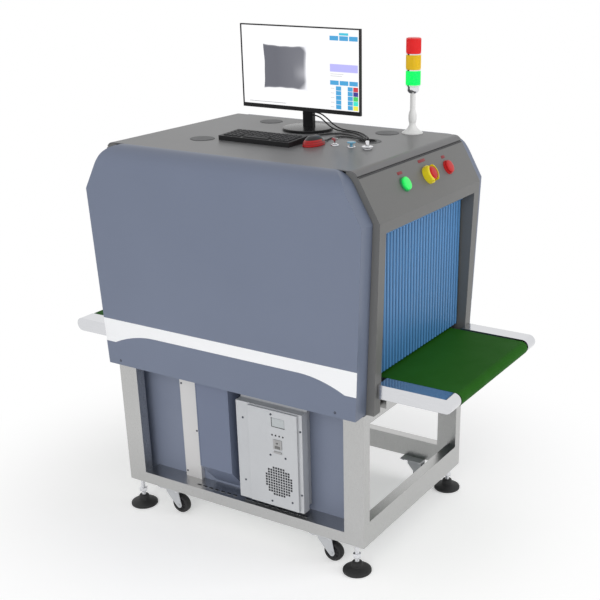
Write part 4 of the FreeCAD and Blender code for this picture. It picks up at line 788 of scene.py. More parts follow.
@dataclass
class Cables:
    """Cables on the deck, from the monitor, the keyboard and the mouse into the outlet."""

    radius: float = 0.0025
    routes: dict[str, list[Point]] = field(default_factory=lambda: {
        "power": [
            (-0.0127, 0.196, 1.47), (0.008, 0.197, 1.468), (0.03, 0.199, 1.452), (0.052, 0.203, 1.433),
            (0.076, 0.207, 1.423), (0.104, 0.208, 1.4209), (0.134, 0.204, 1.4209), (0.164, 0.193, 1.4209),
            (0.194, 0.174, 1.4209), (0.22, 0.15, 1.4212), (0.24, 0.127, 1.4234), (0.255, 0.107, 1.424),
            (0.264, 0.0985, 1.4115), (0.265, 0.0975, 1.393)],
        "video": [
            (-0.0127, 0.2, 1.48), (0.01, 0.203, 1.478), (0.032, 0.209, 1.463), (0.052, 0.218, 1.442),
            (0.076, 0.226, 1.426), (0.104, 0.23, 1.421), (0.136, 0.226, 1.421), (0.168, 0.213, 1.421),
            (0.198, 0.192, 1.421), (0.224, 0.166, 1.4212), (0.246, 0.138, 1.4236), (0.264, 0.114, 1.424),
            (0.2725, 0.1045, 1.4115), (0.274, 0.103, 1.393)],
        "keyboard": [
            (0.06, -0.0294, 1.429), (0.061, -0.012, 1.427), (0.062, 0.01, 1.422), (0.064, 0.04, 1.4209),
            (0.067, 0.074, 1.4209), (0.073, 0.108, 1.4209), (0.088, 0.138, 1.4209), (0.114, 0.156, 1.4209),
            (0.146, 0.16, 1.4209), (0.178, 0.151, 1.4209), (0.206, 0.133, 1.4212), (0.23, 0.113, 1.4234),
            (0.252, 0.098, 1.424), (0.2633, 0.092, 1.4115), (0.2645, 0.0914, 1.393)],
        "mouse": [
            (0.152, -0.0076, 1.424), (0.151, 0.01, 1.4235), (0.147, 0.03, 1.4209), (0.141, 0.054, 1.4209),
            (0.139, 0.08, 1.4209), (0.148, 0.104, 1.4209), (0.168, 0.118, 1.4209), (0.192, 0.117, 1.4209),
            (0.214, 0.106, 1.4213), (0.233, 0.094, 1.4236), (0.25, 0.087, 1.424), (0.2627, 0.0845, 1.4115),
            (0.264, 0.0844, 1.393)],
    })
    lengths: dict[str, float] = field(default_factory=lambda: {
        "power": 0.354, "video": 0.378, "keyboard": 0.393, "mouse": 0.261})

    def build(self) -> None:
        """Each cable is a smooth spline with its route as control points."""
        for name, route in self.routes.items():
            curve = bpy.data.curves.new(f"{name}_lead", "CURVE")
            curve.dimensions = "3D"
            spline = curve.splines.new("NURBS")
            spline.points.add(len(route) - 1)
            spline.points.foreach_set("co", np.column_stack([np.array(route), np.ones(len(route))]).ravel())
            spline.order_u = 3
            spline.use_endpoint_u = True
            spline.resolution_u = 8
            curve.bevel_depth = self.radius
            curve.bevel_resolution = 3
            curve.use_fill_caps = True
            curve.materials.append(LEAD_BLACK.material())
            item = bpy.data.objects.new(f"{name}_lead", curve)
            bpy.context.scene.collection.objects.link(item)
            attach(item, Body.MACHINE.value)
            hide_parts(f"{name}_cable")


# Monitor, keyboard.


@dataclass
class Screen:
    """The lit picture in the monitor's recess."""

    left: float = -0.2785
    right: float = 0.2105
    foot: float = 1.504
    head: float = 1.7729
    plane: float = 0.1413
    stand: tuple[float, float] = (-0.034, 0.186)
    blue: Color = srgb(48, 160, 216)

    def at(self, across: np.ndarray, down: np.ndarray, lift: float) -> np.ndarray:
        """Points from shares of the screen's width and height.

        Args:
            across: Shares of its width, from the left.
            down: Shares of its height, from the top.
            lift: Towards the viewer.

        Returns:
            The points.
        """
        x = self.left + (self.right - self.left) * across
        z = self.head - (self.head - self.foot) * down
        return np.stack([x, np.full_like(x, self.plane - lift), z], axis=-1)

    def blocks(self) -> list[tuple[float, float, float, float, Color]]:
        """Plain fields of a control screen.

        Returns:
            Left, right, top and foot as shares of the screen, and the colour, of each field.
        """
        thirds = ((0.760, 0.832), (0.840, 0.912), (0.920, 0.990))
        fields = [(left, right, top, foot, self.blue) for left, right in thirds
                  for top, foot in ((0.082, 0.138), (0.628, 0.684))]
        fields.append((0.838, 0.914, 0.044, 0.074, srgb(40, 196, 222)))
        fields.append((0.760, 0.990, 0.425, 0.520, srgb(186, 184, 250)))
        rows = np.linspace(0.698, 0.990, 6)
        swatches = (srgb(206, 26, 44), srgb(22, 18, 140), srgb(46, 206, 86), srgb(34, 230, 206),
                    srgb(240, 236, 66))
        for top, foot, swatch in zip(rows[:-1], rows[1:], swatches):
            fields.append((0.808, 0.852, top, foot - 0.005, self.blue))
            fields.append((0.906, 0.948, top, foot - 0.005, self.blue))
            fields.append((0.952, 0.992, top, foot - 0.003, swatch))
            fields.append((0.764, 0.794, (top + foot) / 2 - 0.003, (top + foot) / 2 + 0.003,
                           srgb(190, 192, 196)))
        fields.append((0.050, 0.375, 0.966, 0.971, srgb(110, 112, 118)))
        fields.append((0.764, 0.872, 0.545, 0.551, srgb(196, 198, 200)))
        fields.append((0.764, 0.860, 0.570, 0.576, srgb(196, 198, 200)))
        return fields

    def parcel(self) -> tuple[Surface, np.ndarray]:
        """A scanned parcel: a square with pinched corners, dark inside and fading at its right and foot.

        The outline is (u (1 - 0.05 (1 - v^2)), v (1 - 0.06 (1 - u^2))), and the tone follows steps in
        u and v that are clipped to 0 and 1.

        Returns:
            The parcel, and a colour for each of its points.
        """
        u, v = np.meshgrid(np.linspace(-1, 1, 71), np.linspace(-1, 1, 61), indexing="ij")
        wave = 0.012 * np.sin(7 * v) + 0.008 * np.sin(11 * u + 1)
        across = 0.377 + 0.190 * u * (1 - 0.05 * (1 - v ** 2) + wave * 0.5)
        down = 0.505 + 0.280 * v * (1 - 0.06 * (1 - u ** 2) + wave)
        shade = np.clip(0.10 + 0.16 * (u + 0.4) * (u > -0.4) + 0.10 * np.cos(3 * v) * (u > 0.3) * (u - 0.3),
                        0, 1)
        band = np.exp(-((v - 0.25) / 0.3) ** 2) * np.clip((u - 0.35) / 0.65, 0, 1) * 0.28
        edge = np.clip((u - 0.86) / 0.14, 0, 1) ** 1.5 * 0.6 + np.clip((np.abs(v) - 0.93) / 0.07, 0,
                                                                       1) ** 2 * 0.4
        corner = np.clip((u + v - 1.55) / 0.45, 0, 1) + np.clip((u - v - 1.65) / 0.35, 0, 1)
        share = np.clip(shade * 0.35 + band + edge + corner, 0, 1)[..., None]
        tone = np.array(srgb(76, 78, 90)) * (1 - share) + np.array(srgb(244, 244, 250)) * share
        return lattice(self.at(across, down, 0.0004)), tone.reshape(-1, 3)

    def build(self) -> None:
        """White ground, coloured fields and the parcel, and the round foot of the stand."""
        corners = np.linspace(0, 1, 9)
        ground = lattice(self.at(*np.meshgrid(corners, corners, indexing="ij"), 0.0))
        parts, tones = [ground], [np.tile((0.97, 0.97, 0.98), (len(ground.points), 1))]
        for left, right, top, foot, color in self.blocks():
            piece = lattice(self.at(*np.meshgrid([left, right], [top, foot], indexing="ij"), 0.0003))
            parts.append(piece)
            tones.append(np.tile(color, (4, 1)))
        parcel, parcel_tones = self.parcel()
        parts.append(parcel)
        tones.append(parcel_tones)
        base = lathe([(0, 0.0005), (0.0905, 0.0005), (0.092, 0.002), (0.092, 0.0075), (0.0905, 0.0095),
                      (0.085, 0.0103), (0.03, 0.0133),
                      (0, 0.0133)], Matrix.Translation((*self.stand, DECK_TOP)), 96)
        make("monitor_base", base, GLOSS_BLACK)
        make("screen_picture", joined(parts), SCREEN, Body.MONITOR, closed=False, sharp=40,
             tones=np.vstack(tones))


@dataclass
class Keyboard:
    """Key caps with dished tops, in place of the plain key blocks."""

    centre: Point = (-0.041, -0.087, DECK_TOP)
    wide: float = 0.292
    deep: float = 0.114
    front: float = 0.01575
    back: float = 0.021
    pitch: float = 0.018
    size: float = 0.0156
    rows: int = 5
    row_gap: float = 0.001
    margin: float = 0.016
    corner_power: float = 0.28
    space_keys: int = 6
    space_half: float = 3.2

    def cap(self, x: float, y: float, length: float) -> Surface:
        """One cap: a rounded box whose top is drawn in and dished by a shallow bowl.

        Args:
            x: Its middle along the keyboard.
            y: Its middle across the keyboard.
            length: Its own length.

        Returns:
            The cap on the slope.
        """
        half_x, half_y = length / 2, self.size / 2
        ring = [(half_x, half_y, -0.0009), (half_x, half_y, 0.0012),
                (half_x - 0.0016, half_y - 0.0014, 0.0034),
                (half_x - 0.0021, half_y - 0.0019, 0.0036), (half_x - 0.005, half_y - 0.0045, 0.0031)]
        angle = np.linspace(0, 2 * np.pi, 20, endpoint=False)
        cos, sin = np.cos(angle), np.sin(angle)
        unit = np.column_stack([np.sign(cos) * np.abs(cos) ** self.corner_power,
                                np.sign(sin) * np.abs(sin) ** self.corner_power])
        rings = [np.column_stack([unit * (a, b), np.full(len(angle), h)]) for a, b, h in ring]
        shape = lattice(np.stack(rings), wrap_columns=True)
        count = len(angle)
        last = (len(ring) - 1) * count
        caps = [tuple(range(count - 1, -1, -1)), tuple(range(last, last + count))]
        slope = math.atan2(self.back - self.front, self.deep)
        place = (Matrix.Translation((self.centre[0], self.centre[1],
                                     self.centre[2] + (self.back + self.front) / 2))
                 @ Matrix.Rotation(slope, 4, "X") @ Matrix.Translation((x, y, 0)))
        return Surface(shape.points, shape.faces + caps).placed(place)

    def build(self) -> None:
        """All the caps in one piece, on the keys' body."""
        columns = int((self.wide - self.margin) // self.pitch)
        caps = []
        for row in range(self.rows):
            y = (row - (self.rows - 1) / 2) * (self.pitch + self.row_gap)
            spans = [(k - (columns - 1) / 2, 1) for k in range(columns)]
            if row == 0:
                spans = [span for span in spans if abs(span[0]) > self.space_half]
                spans.append((0.0, self.space_keys))
            caps += [self.cap(at * self.pitch, y, self.size + (wide - 1) * self.pitch) for at, wide in spans]
        make("key_caps", joined(caps), KEYS, Body.KEYS, ("keyboard_keys",), sharp=50)


# Signal tower.


@dataclass
class SignalTower:
    """Fluted lenses over a pole with a flared foot."""

    x: float = 0.330
    y: float = 0.312
    foot: float = DECK_TOP
    lens_foot: float = 1.581
    lens_tall: float = 0.052
    radius: float = 0.0265

    def lens(self, level: int, domed: bool) -> Surface:
        """One lens: straight sides with fine flutes between two plain rims.

        Args:
            level: 0 for the lowest.
            domed: Whether it is the top one.

        Returns:
            The lens.
        """
        z = self.lens_foot + level * (self.lens_tall + 0.001)
        r, tall = self.radius, self.lens_tall
        rims = lathe([(0, 0), (r - 0.0015, 0), (r - 0.0015, 0.004), (r, 0.005), (r, 0.008),
                      (r - 0.0006, 0.0085)],
                     Matrix.Translation((self.x, self.y, z)), 96)
        heights = np.linspace(0.0085, tall - 0.004, 8)
        flutes = lathe([(r - 0.0001, h) for h in heights], Matrix.Translation((self.x, self.y, z)), 192, 48,
                       0.0012)
        if domed:
            top = [(r - 0.0006, tall - 0.004), (r, tall - 0.0035), (r, tall - 0.0004),
                   (r - 0.0013, tall + 0.0019),
                   (r - 0.0048, tall + 0.003), (0, tall + 0.003)]
        else:
            top = [(r - 0.0006, tall - 0.004), (r, tall - 0.0035), (r, tall), (r - 0.003, tall + 0.001),
                   (0, tall + 0.001)]
        return joined([rims, flutes, lathe(top, Matrix.Translation((self.x, self.y, z)), 96)])

    def build(self) -> None:
        """Lenses, collar, pole and foot."""
        for level, (name, finish) in enumerate((("green", LENS_GREEN), ("yellow", LENS_YELLOW),
                                                ("red", LENS_RED))):
            make(f"{name}_fluted_lens", self.lens(level, name == "red"), finish,
                 replaces=(f"lens_{name}",), sharp=30)
        place = Matrix.Translation((self.x, self.y, self.foot))
        foot = lathe([(0, 0), (0.038, 0), (0.038, 0.003), (0.0365, 0.0045), (0.03, 0.0083), (0.0225, 0.0134),
                      (0.017, 0.0196), (0.0132, 0.0262), (0.0112, 0.032), (0.0122, 0.0375), (0.0141, 0.0432),
                      (0.0145, 0.05), (0.0145, 0.061), (0.0135, 0.068), (0.0115, 0.0752), (0.0096, 0.08),
                      (0.0094, 0.139), (0, 0.139)], place, 64)
        make("tower_pole", foot, WHITE, replaces=("tower_stand",))
        collar = lathe([(0, 0.139), (0.0155, 0.1395), (0.0186, 0.1425), (0.0212, 0.1465), (0.022, 0.15),
                        (0.022, 0.1605), (0.0212, 0.1625), (0, 0.1628)], place, 64)
        rings = [lathe([(self.radius - 0.0025, low), (self.radius - 0.0004, low),
                        (self.radius - 0.0004, low + 0.0036),
                        (self.radius - 0.0025, low + 0.0036), (self.radius - 0.0025, low)],
                       Matrix.Translation((self.x, self.y,
                                           self.lens_foot + level * (self.lens_tall + 0.001))), 96)
                 for level, low in ((0, 0.0002), (1, -0.0008), (2, -0.0008))]
        make("tower_collar", joined([collar] + rings), CHROME)


# Curtains.


@dataclass
class Curtains:
    """Leaded strips that hang from a rod in each tunnel mouth."""

    place: float = 0.530
    half: float = 0.314
    foot: float = 0.736
    rod: float = 1.212
    count: int = 30
    sleeve: float = 0.010

    def strips(self) -> Surface:
        """Each strip is a shallow arch across, x = bulge (1 - s^2), and hangs straight.

        Returns:
            The strips and the rod's sleeve, with the rod over the Y axis.
        """
        pitch = 2 * self.half / self.count
        down = np.linspace(0, 1, 15)
        across = np.linspace(-1, 1, 9)
        parts = []
        for index in range(self.count):
            centre = -self.half + pitch * (index + 0.5)
            y = centre + across[None, :] * (pitch / 2 - 0.0005) + 0 * down[:, None]
            z = self.rod - 0.006 - down[:, None] * (self.rod - 0.006 - self.foot) + 0 * across[None, :]
            x = 0.0034 * (1 - across[None, :] ** 2) - 0.0005 + 0 * down[:, None]
            front = np.stack([x, y, z], axis=-1)
            back = np.stack([0 * x - 0.0009, y, z], axis=-1)
            sheet = np.concatenate([front, back[:, ::-1]], axis=1)
            strip = lattice(sheet, wrap_columns=True)
            width = sheet.shape[1]
            last = (len(down) - 1) * width
            caps = [tuple(range(width)), tuple(range(last + width - 1, last - 1, -1))]
            parts.append(Surface(strip.points, strip.faces + caps))
        sleeve = self.sleeve - 0.0002
        parts.append(lathe([(0.0062, 0), (sleeve, 0), (sleeve, 2 * self.half), (0.0062, 2 * self.half),
                            (0.0062, 0)],
                           aimed((0, -self.half, self.rod), (0, 1, 0)), 32))
        return joined(parts)

    def build(self) -> None:
        """The same curtain at both ends, its ridges outward."""
        for side, body in ((1, Body.OUT_CURTAIN), (-1, Body.IN_CURTAIN)):
            turn = Matrix.Rotation(0 if side > 0 else math.pi, 4, "Z")
            shape = self.strips().placed(Matrix.Translation((side * self.place, 0, 0)) @ turn)
            make(f"{body.value}_strips", shape, CURTAIN, body, (body.value,), sharp=60)


# Base.


@dataclass
class Footing:
    """Levelling feet with threaded stems, and casters with tyres."""

    foot_x: float = 0.492
    foot_y: float = 0.360
    pad: float = 0.052
    stem: float = 0.008
    nut: float = 0.0165
    nut_foot: float = 0.058
    nut_head: float = 0.074
    thread_pitch: float = 0.002
    thread_depth: float = 0.0005
    thread_sides: int = 20
    caster_x: float = 0.350
    caster_y: float = 0.342
    caster_trail: float = 0.036
    axle_height: float = 0.0415
    bolt_x: float = 0.037
    bolt_y: float = 0.029
    bolt_height: float = 0.108

    def thread(self, low: float, high: float, place: Matrix) -> Surface:
        """A screw thread: the radius falls by a wave of the height minus the turn's share of the pitch.

        Args:
            low: Height of its foot.
            high: Height of its head.
            place: Its axis.

        Returns:
            The threaded stem.
        """
        pitch, sides = self.thread_pitch, self.thread_sides
        z, a = np.meshgrid(np.linspace(low, high, int((high - low) / pitch * 5)),
                           np.linspace(0, 2 * np.pi, sides, False), indexing="ij")
        phase = (z / pitch - a / (2 * np.pi)) * 2 * np.pi
        r = self.stem - self.thread_depth * (1 - np.cos(phase)) / 2
        shape = lattice(np.stack([r * np.cos(a), r * np.sin(a), z], axis=-1), wrap_columns=True)
        count = len(shape.points)
        caps = [tuple(range(sides)), tuple(range(count - 1, count - sides - 1, -1))]
        return Surface(shape.points, shape.faces + caps).placed(place)

    def build(self) -> None:
        """One pad, one stem and one nut for each leg, and one wheel for each caster."""
        for corner, (side_x, side_y) in CORNERS.items():
            place = Matrix.Translation((side_x * self.foot_x, side_y * self.foot_y, 0))
            pad = lathe([(0, 0), (self.pad - 0.002, 0), (self.pad, 0.002), (self.pad, 0.008),
                         (0.0505, 0.0105), (0.046, 0.0135), (0.034, 0.0175), (0.0225, 0.0208),
                         (0.0206, 0.023), (0.0193, 0.0365), (0.0178, 0.0392), (0.0137, 0.0415),
                         (0, 0.0418)], place, 64)
            make(f"foot_pad_{corner}", pad, RUBBER, f"foot_{corner}", (f"foot_{corner}",),
                 sharp=30)
            steel = [self.thread(0.041, 0.167, place),
                     hexagon_nut(place, self.nut, self.nut_foot, self.nut_head)]
            make(f"foot_stem_{corner}", joined(steel), CHROME, f"foot_{corner}")
            self.caster(corner, side_x, side_y)

    def caster(self, corner: str, side_x: int, side_y: int) -> None:
        """A rounded tyre on a ribbed hub, and the bolts of the top plate.

        Args:
            corner: The corner's name.
            side_x: 1 at the outfeed end, -1 at the infeed end.
            side_y: 1 at the rear, -1 at the front.
        """
        plate_x, plate_y = side_x * self.caster_x, side_y * self.caster_y
        centre = (plate_x + self.caster_trail, plate_y, self.axle_height)
        place = aimed(centre, (0, 1, 0))
        tyre = lathe([(0.0268, -0.0128), (0.031, -0.014), (0.0335, -0.0135), (0.0362, -0.0105),
                      (0.0373, -0.005), (0.0375, 0), (0.0373, 0.005), (0.0362, 0.0105), (0.0335, 0.0135),
                      (0.031, 0.014), (0.0268, 0.0128), (0.0255, 0.011), (0.0255, -0.011),
                      (0.0268, -0.0128)], place, 64)
        make(f"tyre_{corner}", tyre, RUBBER, f"caster_wheel_{corner}",
             (f"caster_wheel_{corner}",))
        hub = lathe([(0.0051, -0.0138), (0.0105, -0.0138), (0.0118, -0.0105), (0.022, -0.009),
                     (0.0254, -0.0108), (0.0254, 0.0108), (0.022, 0.009), (0.0118, 0.0105),
                     (0.0105, 0.0138), (0.0051, 0.0138), (0.0051, -0.0138)], place, 48)
        ribs = [prism([(0.011, -0.0012), (0.0235, -0.0012), (0.0235, 0.0012), (0.011, 0.0012)], -0.0124,
                      0.0124,
                      place @ Matrix.Rotation(k * math.pi / 4, 4, "Z")) for k in range(8)]
        make(f"hub_{corner}", joined([hub] + ribs), KEYS, f"caster_wheel_{corner}")
        bolts = [hexagon_nut(Matrix.Translation((plate_x + dx, plate_y + dy, self.bolt_height)), 0.0066,
                             -0.0055, 0.0)
                 for dx in (-self.bolt_x, self.bolt_x) for dy in (-self.bolt_y, self.bolt_y)]
        race = lathe([(0.0244, 0.1), (0.0262, 0.1), (0.0268, 0.1025), (0.0262, 0.1048), (0.0244, 0.1048),
                      (0.0244, 0.1)],
                     Matrix.Translation((plate_x, plate_y, 0)), 40)
        make(f"caster_bolts_{corner}", joined(bolts + [race]), CHROME)


@dataclass
class BaseFront:
    """Cabinet surround, breaker, screws and display in the recess under the cover, with painted shade for the
    vent, the rail's slots and the display's recess.
    """

    cabinet_face: float = -0.382
    flange_face: float = -0.372
    wireway_face: float = -0.318
    rail_top: float = 0.157
    slot_y: float = -0.356
    display_left: float = 0.159
    display_foot: float = 0.500
    display_wide: float = 0.054
    display_tall: float = 0.034
    vent_x: float = 0.182
    vent_z: float = 0.284
    vent_half: float = 0.004
    case: Block = ((0.1650, 0.2010), (0.4150, 0.4520), 0.0040, 0.001, 0.0012)
    case_step: Block = ((0.1740, 0.1930), (0.4335, 0.4475), 0.0052, -0.003, 0.0008)
    case_window: Block = ((0.1725, 0.1945), (0.4180, 0.4285), 0.0050, -0.0035, 0.0006)
    lever: Block = ((0.1790, 0.1880), (0.4380, 0.4425), 0.0082, -0.0045, 0.0008)
    terminals: Block = ((0.1665, 0.1995), (0.3990, 0.4060), 0.0050, 0.001, 0.0010)
    slot_runs: tuple[Span, Span] = ((-0.222, -0.006), (0.006, 0.298))
    column_edges_x: Span = (-0.1705, -0.0285)
    vent_pitch: float = 0.0106
    vent_inner: float = 0.047
    vent_outer: float = 0.0615
    slot_pitch: float = 0.028
    slot_long: float = 0.019
    slot_wide: float = 0.008

    def slots(self, left: float, right: float, margin: float, low: float, high: float) -> list[Surface]:
        """Round-ended outlines in a row on the rail's top, each grown by a margin.

        Args:
            left: Start of the row.
            right: End of the row.
            margin: How far each grows.
            low: Height of its foot over the rail.
            high: Height of its head over the rail.

        Returns:
            One prism for each slot.
        """
        radius = self.slot_wide / 2 + margin
        reach = (self.slot_long - self.slot_wide) / 2
        turn = np.linspace(-np.pi / 2, np.pi / 2, 9)
        half = np.column_stack([reach + radius * np.cos(turn), radius * np.sin(turn)])
        outline = [tuple(point) for point in np.vstack([half, -half])]
        count = int((right - left) / self.slot_pitch)
        return [prism(outline, low, high, Matrix.Translation((left + (k + 0.5) * self.slot_pitch, self.slot_y,
                                                              self.rail_top))) for k in range(count)]

    def surround(self) -> Surface:
        """A closed section carried round the cabinet: each of its points is a rectangle with mitred corners.

        Returns:
            The surround.
        """
        section = ((-0.001, 0.280, 0.176, 0.5635, -0.3405), (-0.001, 0.280, 0.176, 0.5635, -0.3712),
                   (-0.0002, 0.2792, 0.1768, 0.5628, -0.372), (0.0565, 0.2655, 0.1815, 0.5605, -0.372),
                   (0.0573, 0.2647, 0.1823, 0.5597, -0.3712), (0.0573, 0.2647, 0.1823, 0.5597, -0.3405))
        loops = [[(left, y, low), (right, y, low), (right, y, high), (left, y, high)]
                 for left, right, low, high, y in section]
        return lattice(np.array(loops), wrap_rows=True, wrap_columns=True)

    def proud(self, block: Block) -> Surface:
        """A box that stands out of the cabinet's face.

        Args:
            block: Its left and right, its foot and head, how far it stands out, how far it goes in, and the
                radius of its edges.

        Returns:
            The box.
        """
        (left, right), (low, high), out, back, radius = block
        face = self.cabinet_face
        return rounded_box((left, face - out, low), (right, face + back, high), radius)

    def breaker(self) -> None:
        """A plain circuit breaker with its lever and terminals, and painted shade for the vent: a dark disc
        behind its holes and dark tiles round them.
        """
        face = self.cabinet_face
        shell = [self.proud(block) for block in (self.case, self.case_step, self.terminals)]
        make("breaker_shell", joined(shell), BREAKER)
        # Painted shade: a dark disc just behind the cabinet's face darkens the vent's holes.
        shade_backing = lathe([(0, 0), (0.057, 0), (0.057, 0.0006), (0, 0.0006)],
                     aimed((self.vent_x, face + 0.0030, self.vent_z), (0, -1, 0)), 64)
        make("vent_shade_backing", shade_backing, OPENING_SHADE)
        # Painted shade: flat dark tiles round the vent's holes stand for more holes.
        field = [(i * self.vent_pitch, k * self.vent_pitch) for i in range(-6, 7) for k in range(-6, 7)
                 if self.vent_inner < math.hypot(i, k) * self.vent_pitch < self.vent_outer]
        half = self.vent_half
        marks = [rounded_box((self.vent_x + x - half, face - 0.0003, self.vent_z + z - half),
                             (self.vent_x + x + half, face + 0.0004, self.vent_z + z + half), 0.0003)
                 for x, z in field]
        make("vent_hole_shade", joined(marks), OPENING_SHADE)
        pale = [self.proud(block) for block in (self.case_window, self.lever)]
        make("breaker_lever", joined(pale), HOUSING)

    def build(self) -> None:
        """All the small parts of the recess."""
        make("cabinet_surround", self.surround(), PALE)
        self.breaker()
        front = (0, -1, 0)
        places = [(-0.292, self.wireway_face, 0.545), (-0.292, self.wireway_face, 0.180),
                  (-0.233, self.wireway_face, 0.362),
                  (0.028, self.flange_face, 0.500), (0.028, self.flange_face, 0.250),
                  (0.273, self.flange_face, 0.500),
                  (0.273, self.flange_face, 0.250),
                  (0.157, self.cabinet_face, 0.545), (0.150, self.cabinet_face, 0.386),
                  (0.214, self.cabinet_face, 0.386),
                  (0.150, self.cabinet_face, 0.200), (0.238, self.cabinet_face, 0.215)]
        heads = [screw(aimed(at, front), 0.004, 0.0022) for at in places]
        make("recess_screws", joined(heads), DARK_SCREW)
        rims = [piece for run in self.slot_runs for piece in self.slots(*run, 0.0016, 0.0, 0.0005)]
        make("slot_rims", joined(rims), STEEL)
        # Painted shade: dark round-ended marks on the rail's top stand for the shade in its slots.
        holes = [piece for run in self.slot_runs for piece in self.slots(*run, 0.0, 0.0002, 0.0008)]
        make("rail_slot_shade", joined(holes), OPENING_SHADE)
        low, high = self.display_foot, self.display_foot + self.display_tall
        left, right = self.display_left, self.display_left + self.display_wide
        glass = rounded_box((left + 0.0005, self.cabinet_face - 0.0006, low + 0.0005),
                            (right - 0.0005, self.cabinet_face + 0.0008, high - 0.0005), 0.0006)
        make("drive_display", glass, DISPLAY)
        # Painted shade: a dark L along the display's left side and foot, where its recess is in shade.
        edges = [rounded_box((left - 0.001, self.cabinet_face - 0.0009, low - 0.001),
                             (left + 0.0016, self.cabinet_face + 0.0005, high + 0.001), 0.0004),
                 rounded_box((left - 0.001, self.cabinet_face - 0.0009, low - 0.001),
                             (right + 0.001, self.cabinet_face + 0.0005, low + 0.0016), 0.0004)]
        keys = [lathe([(0, 0.0016), (0.0026, 0.0014), (0.0034, 0.0006), (0.0034, 0)],
                      aimed((left + 0.001 + k * 0.0152, self.cabinet_face, low - 0.033), front),
                      24) for k in range(4)]
        make("drive_keys_and_display_shade", joined(keys + edges), BLACK, sharp=50)
        seam = [rounded_box((x, -0.386, 0.262), (x + 0.005, -0.3845, 0.6195), 0.0006)
                for x in self.column_edges_x]
        make("column_edges", joined(seam), RECESS)


@dataclass
class CoverDetails:
    """Cover screws, dark strips of painted shade in the grooves under the deck's ends, painted shade in the
    gaps round the discs and a bead in the outlet.
    """

    face: float = 0.430
    groove_x: float = 0.5016
    groove_z: float = 1.4008
    slot_half: float = 0.75
    screws_x: tuple[float, float] = (-0.475, 0.452)
    screws_z: float = 0.637
    shade_strip_half: float = 0.357
    discs: tuple[tuple[float, float], ...] = ((0.252, 0.268), (-0.252, -0.152), (-0.252, 0.268),
                                              (0.278, 0.093))

    def build(self) -> None:
        """Cover screws, painted shade in the gaps round the discs and in the grooves, and the bead of the
        outlet.
        """
        heads = [screw(aimed((x, side * (self.face - 0.0008), self.screws_z), (0, side, 0)), 0.0048, 0.0016)
                 for side in (-1, 1) for x in self.screws_x]
        make("cover_screws", joined(heads), COVER_SCREW)
        # Painted shade: thin dark arcs on the deck round each disc stand for the shade in the gaps.
        turn = np.linspace(-self.slot_half, self.slot_half, 13)
        arc = np.column_stack([np.cos(turn), np.sin(turn)])
        outline = [tuple(point) for point in np.vstack([arc * 0.0350, arc[::-1] * 0.0316])]
        gaps = [prism(outline, 0.0001, 0.0005,
                      Matrix.Translation((x, y, DECK_TOP)) @ Matrix.Rotation(heading, 4, "Z"))
                for x, y in self.discs
                for heading in (math.radians(30), math.radians(210))]
        make("disc_gap_shade", joined(gaps), GAP_SHADE, sharp=50)
        # Painted shade: along each deck groove, one thin dark strip lies in the groove and one laps the
        # console's top edge, widening the groove's dark line.
        shade_strips = []
        for side in (-1, 1):
            down_slope, outward = Vector((0.5 * side, 0, -0.866)), Vector((0.866 * side, 0, 0.5))
            turn = Matrix((down_slope, outward, down_slope.cross(outward))).transposed().to_4x4()
            place = Matrix.Translation((self.groove_x * side, 0, self.groove_z)) @ turn
            shade_strips.append(prism([(0.0022, -0.0010), (0.0062, -0.0010), (0.0062, 0.0006), (0.0022, 0.0006)],
                               -self.shade_strip_half, self.shade_strip_half, place))
            shade_strips.append(prism([(-0.0035, -0.0044), (0.0035, -0.0044), (0.0035, -0.0033), (-0.0035, -0.0033)],
                               -self.shade_strip_half, self.shade_strip_half, place))
        make("groove_shade_strips", joined(shade_strips), GAP_SHADE, sharp=50)
        ring = lathe([(0.0262, 0.0008), (0.0262, 0.003), (0.0278, 0.0040), (0.0305, 0.0040), (0.0318, 0.0028),
                      (0.0318, 0.0022)], Matrix.Translation((0.274, 0.091, 1.4172)), 64)
        make("outlet_grommet", ring, RUBBER, closed=False, sharp=50)


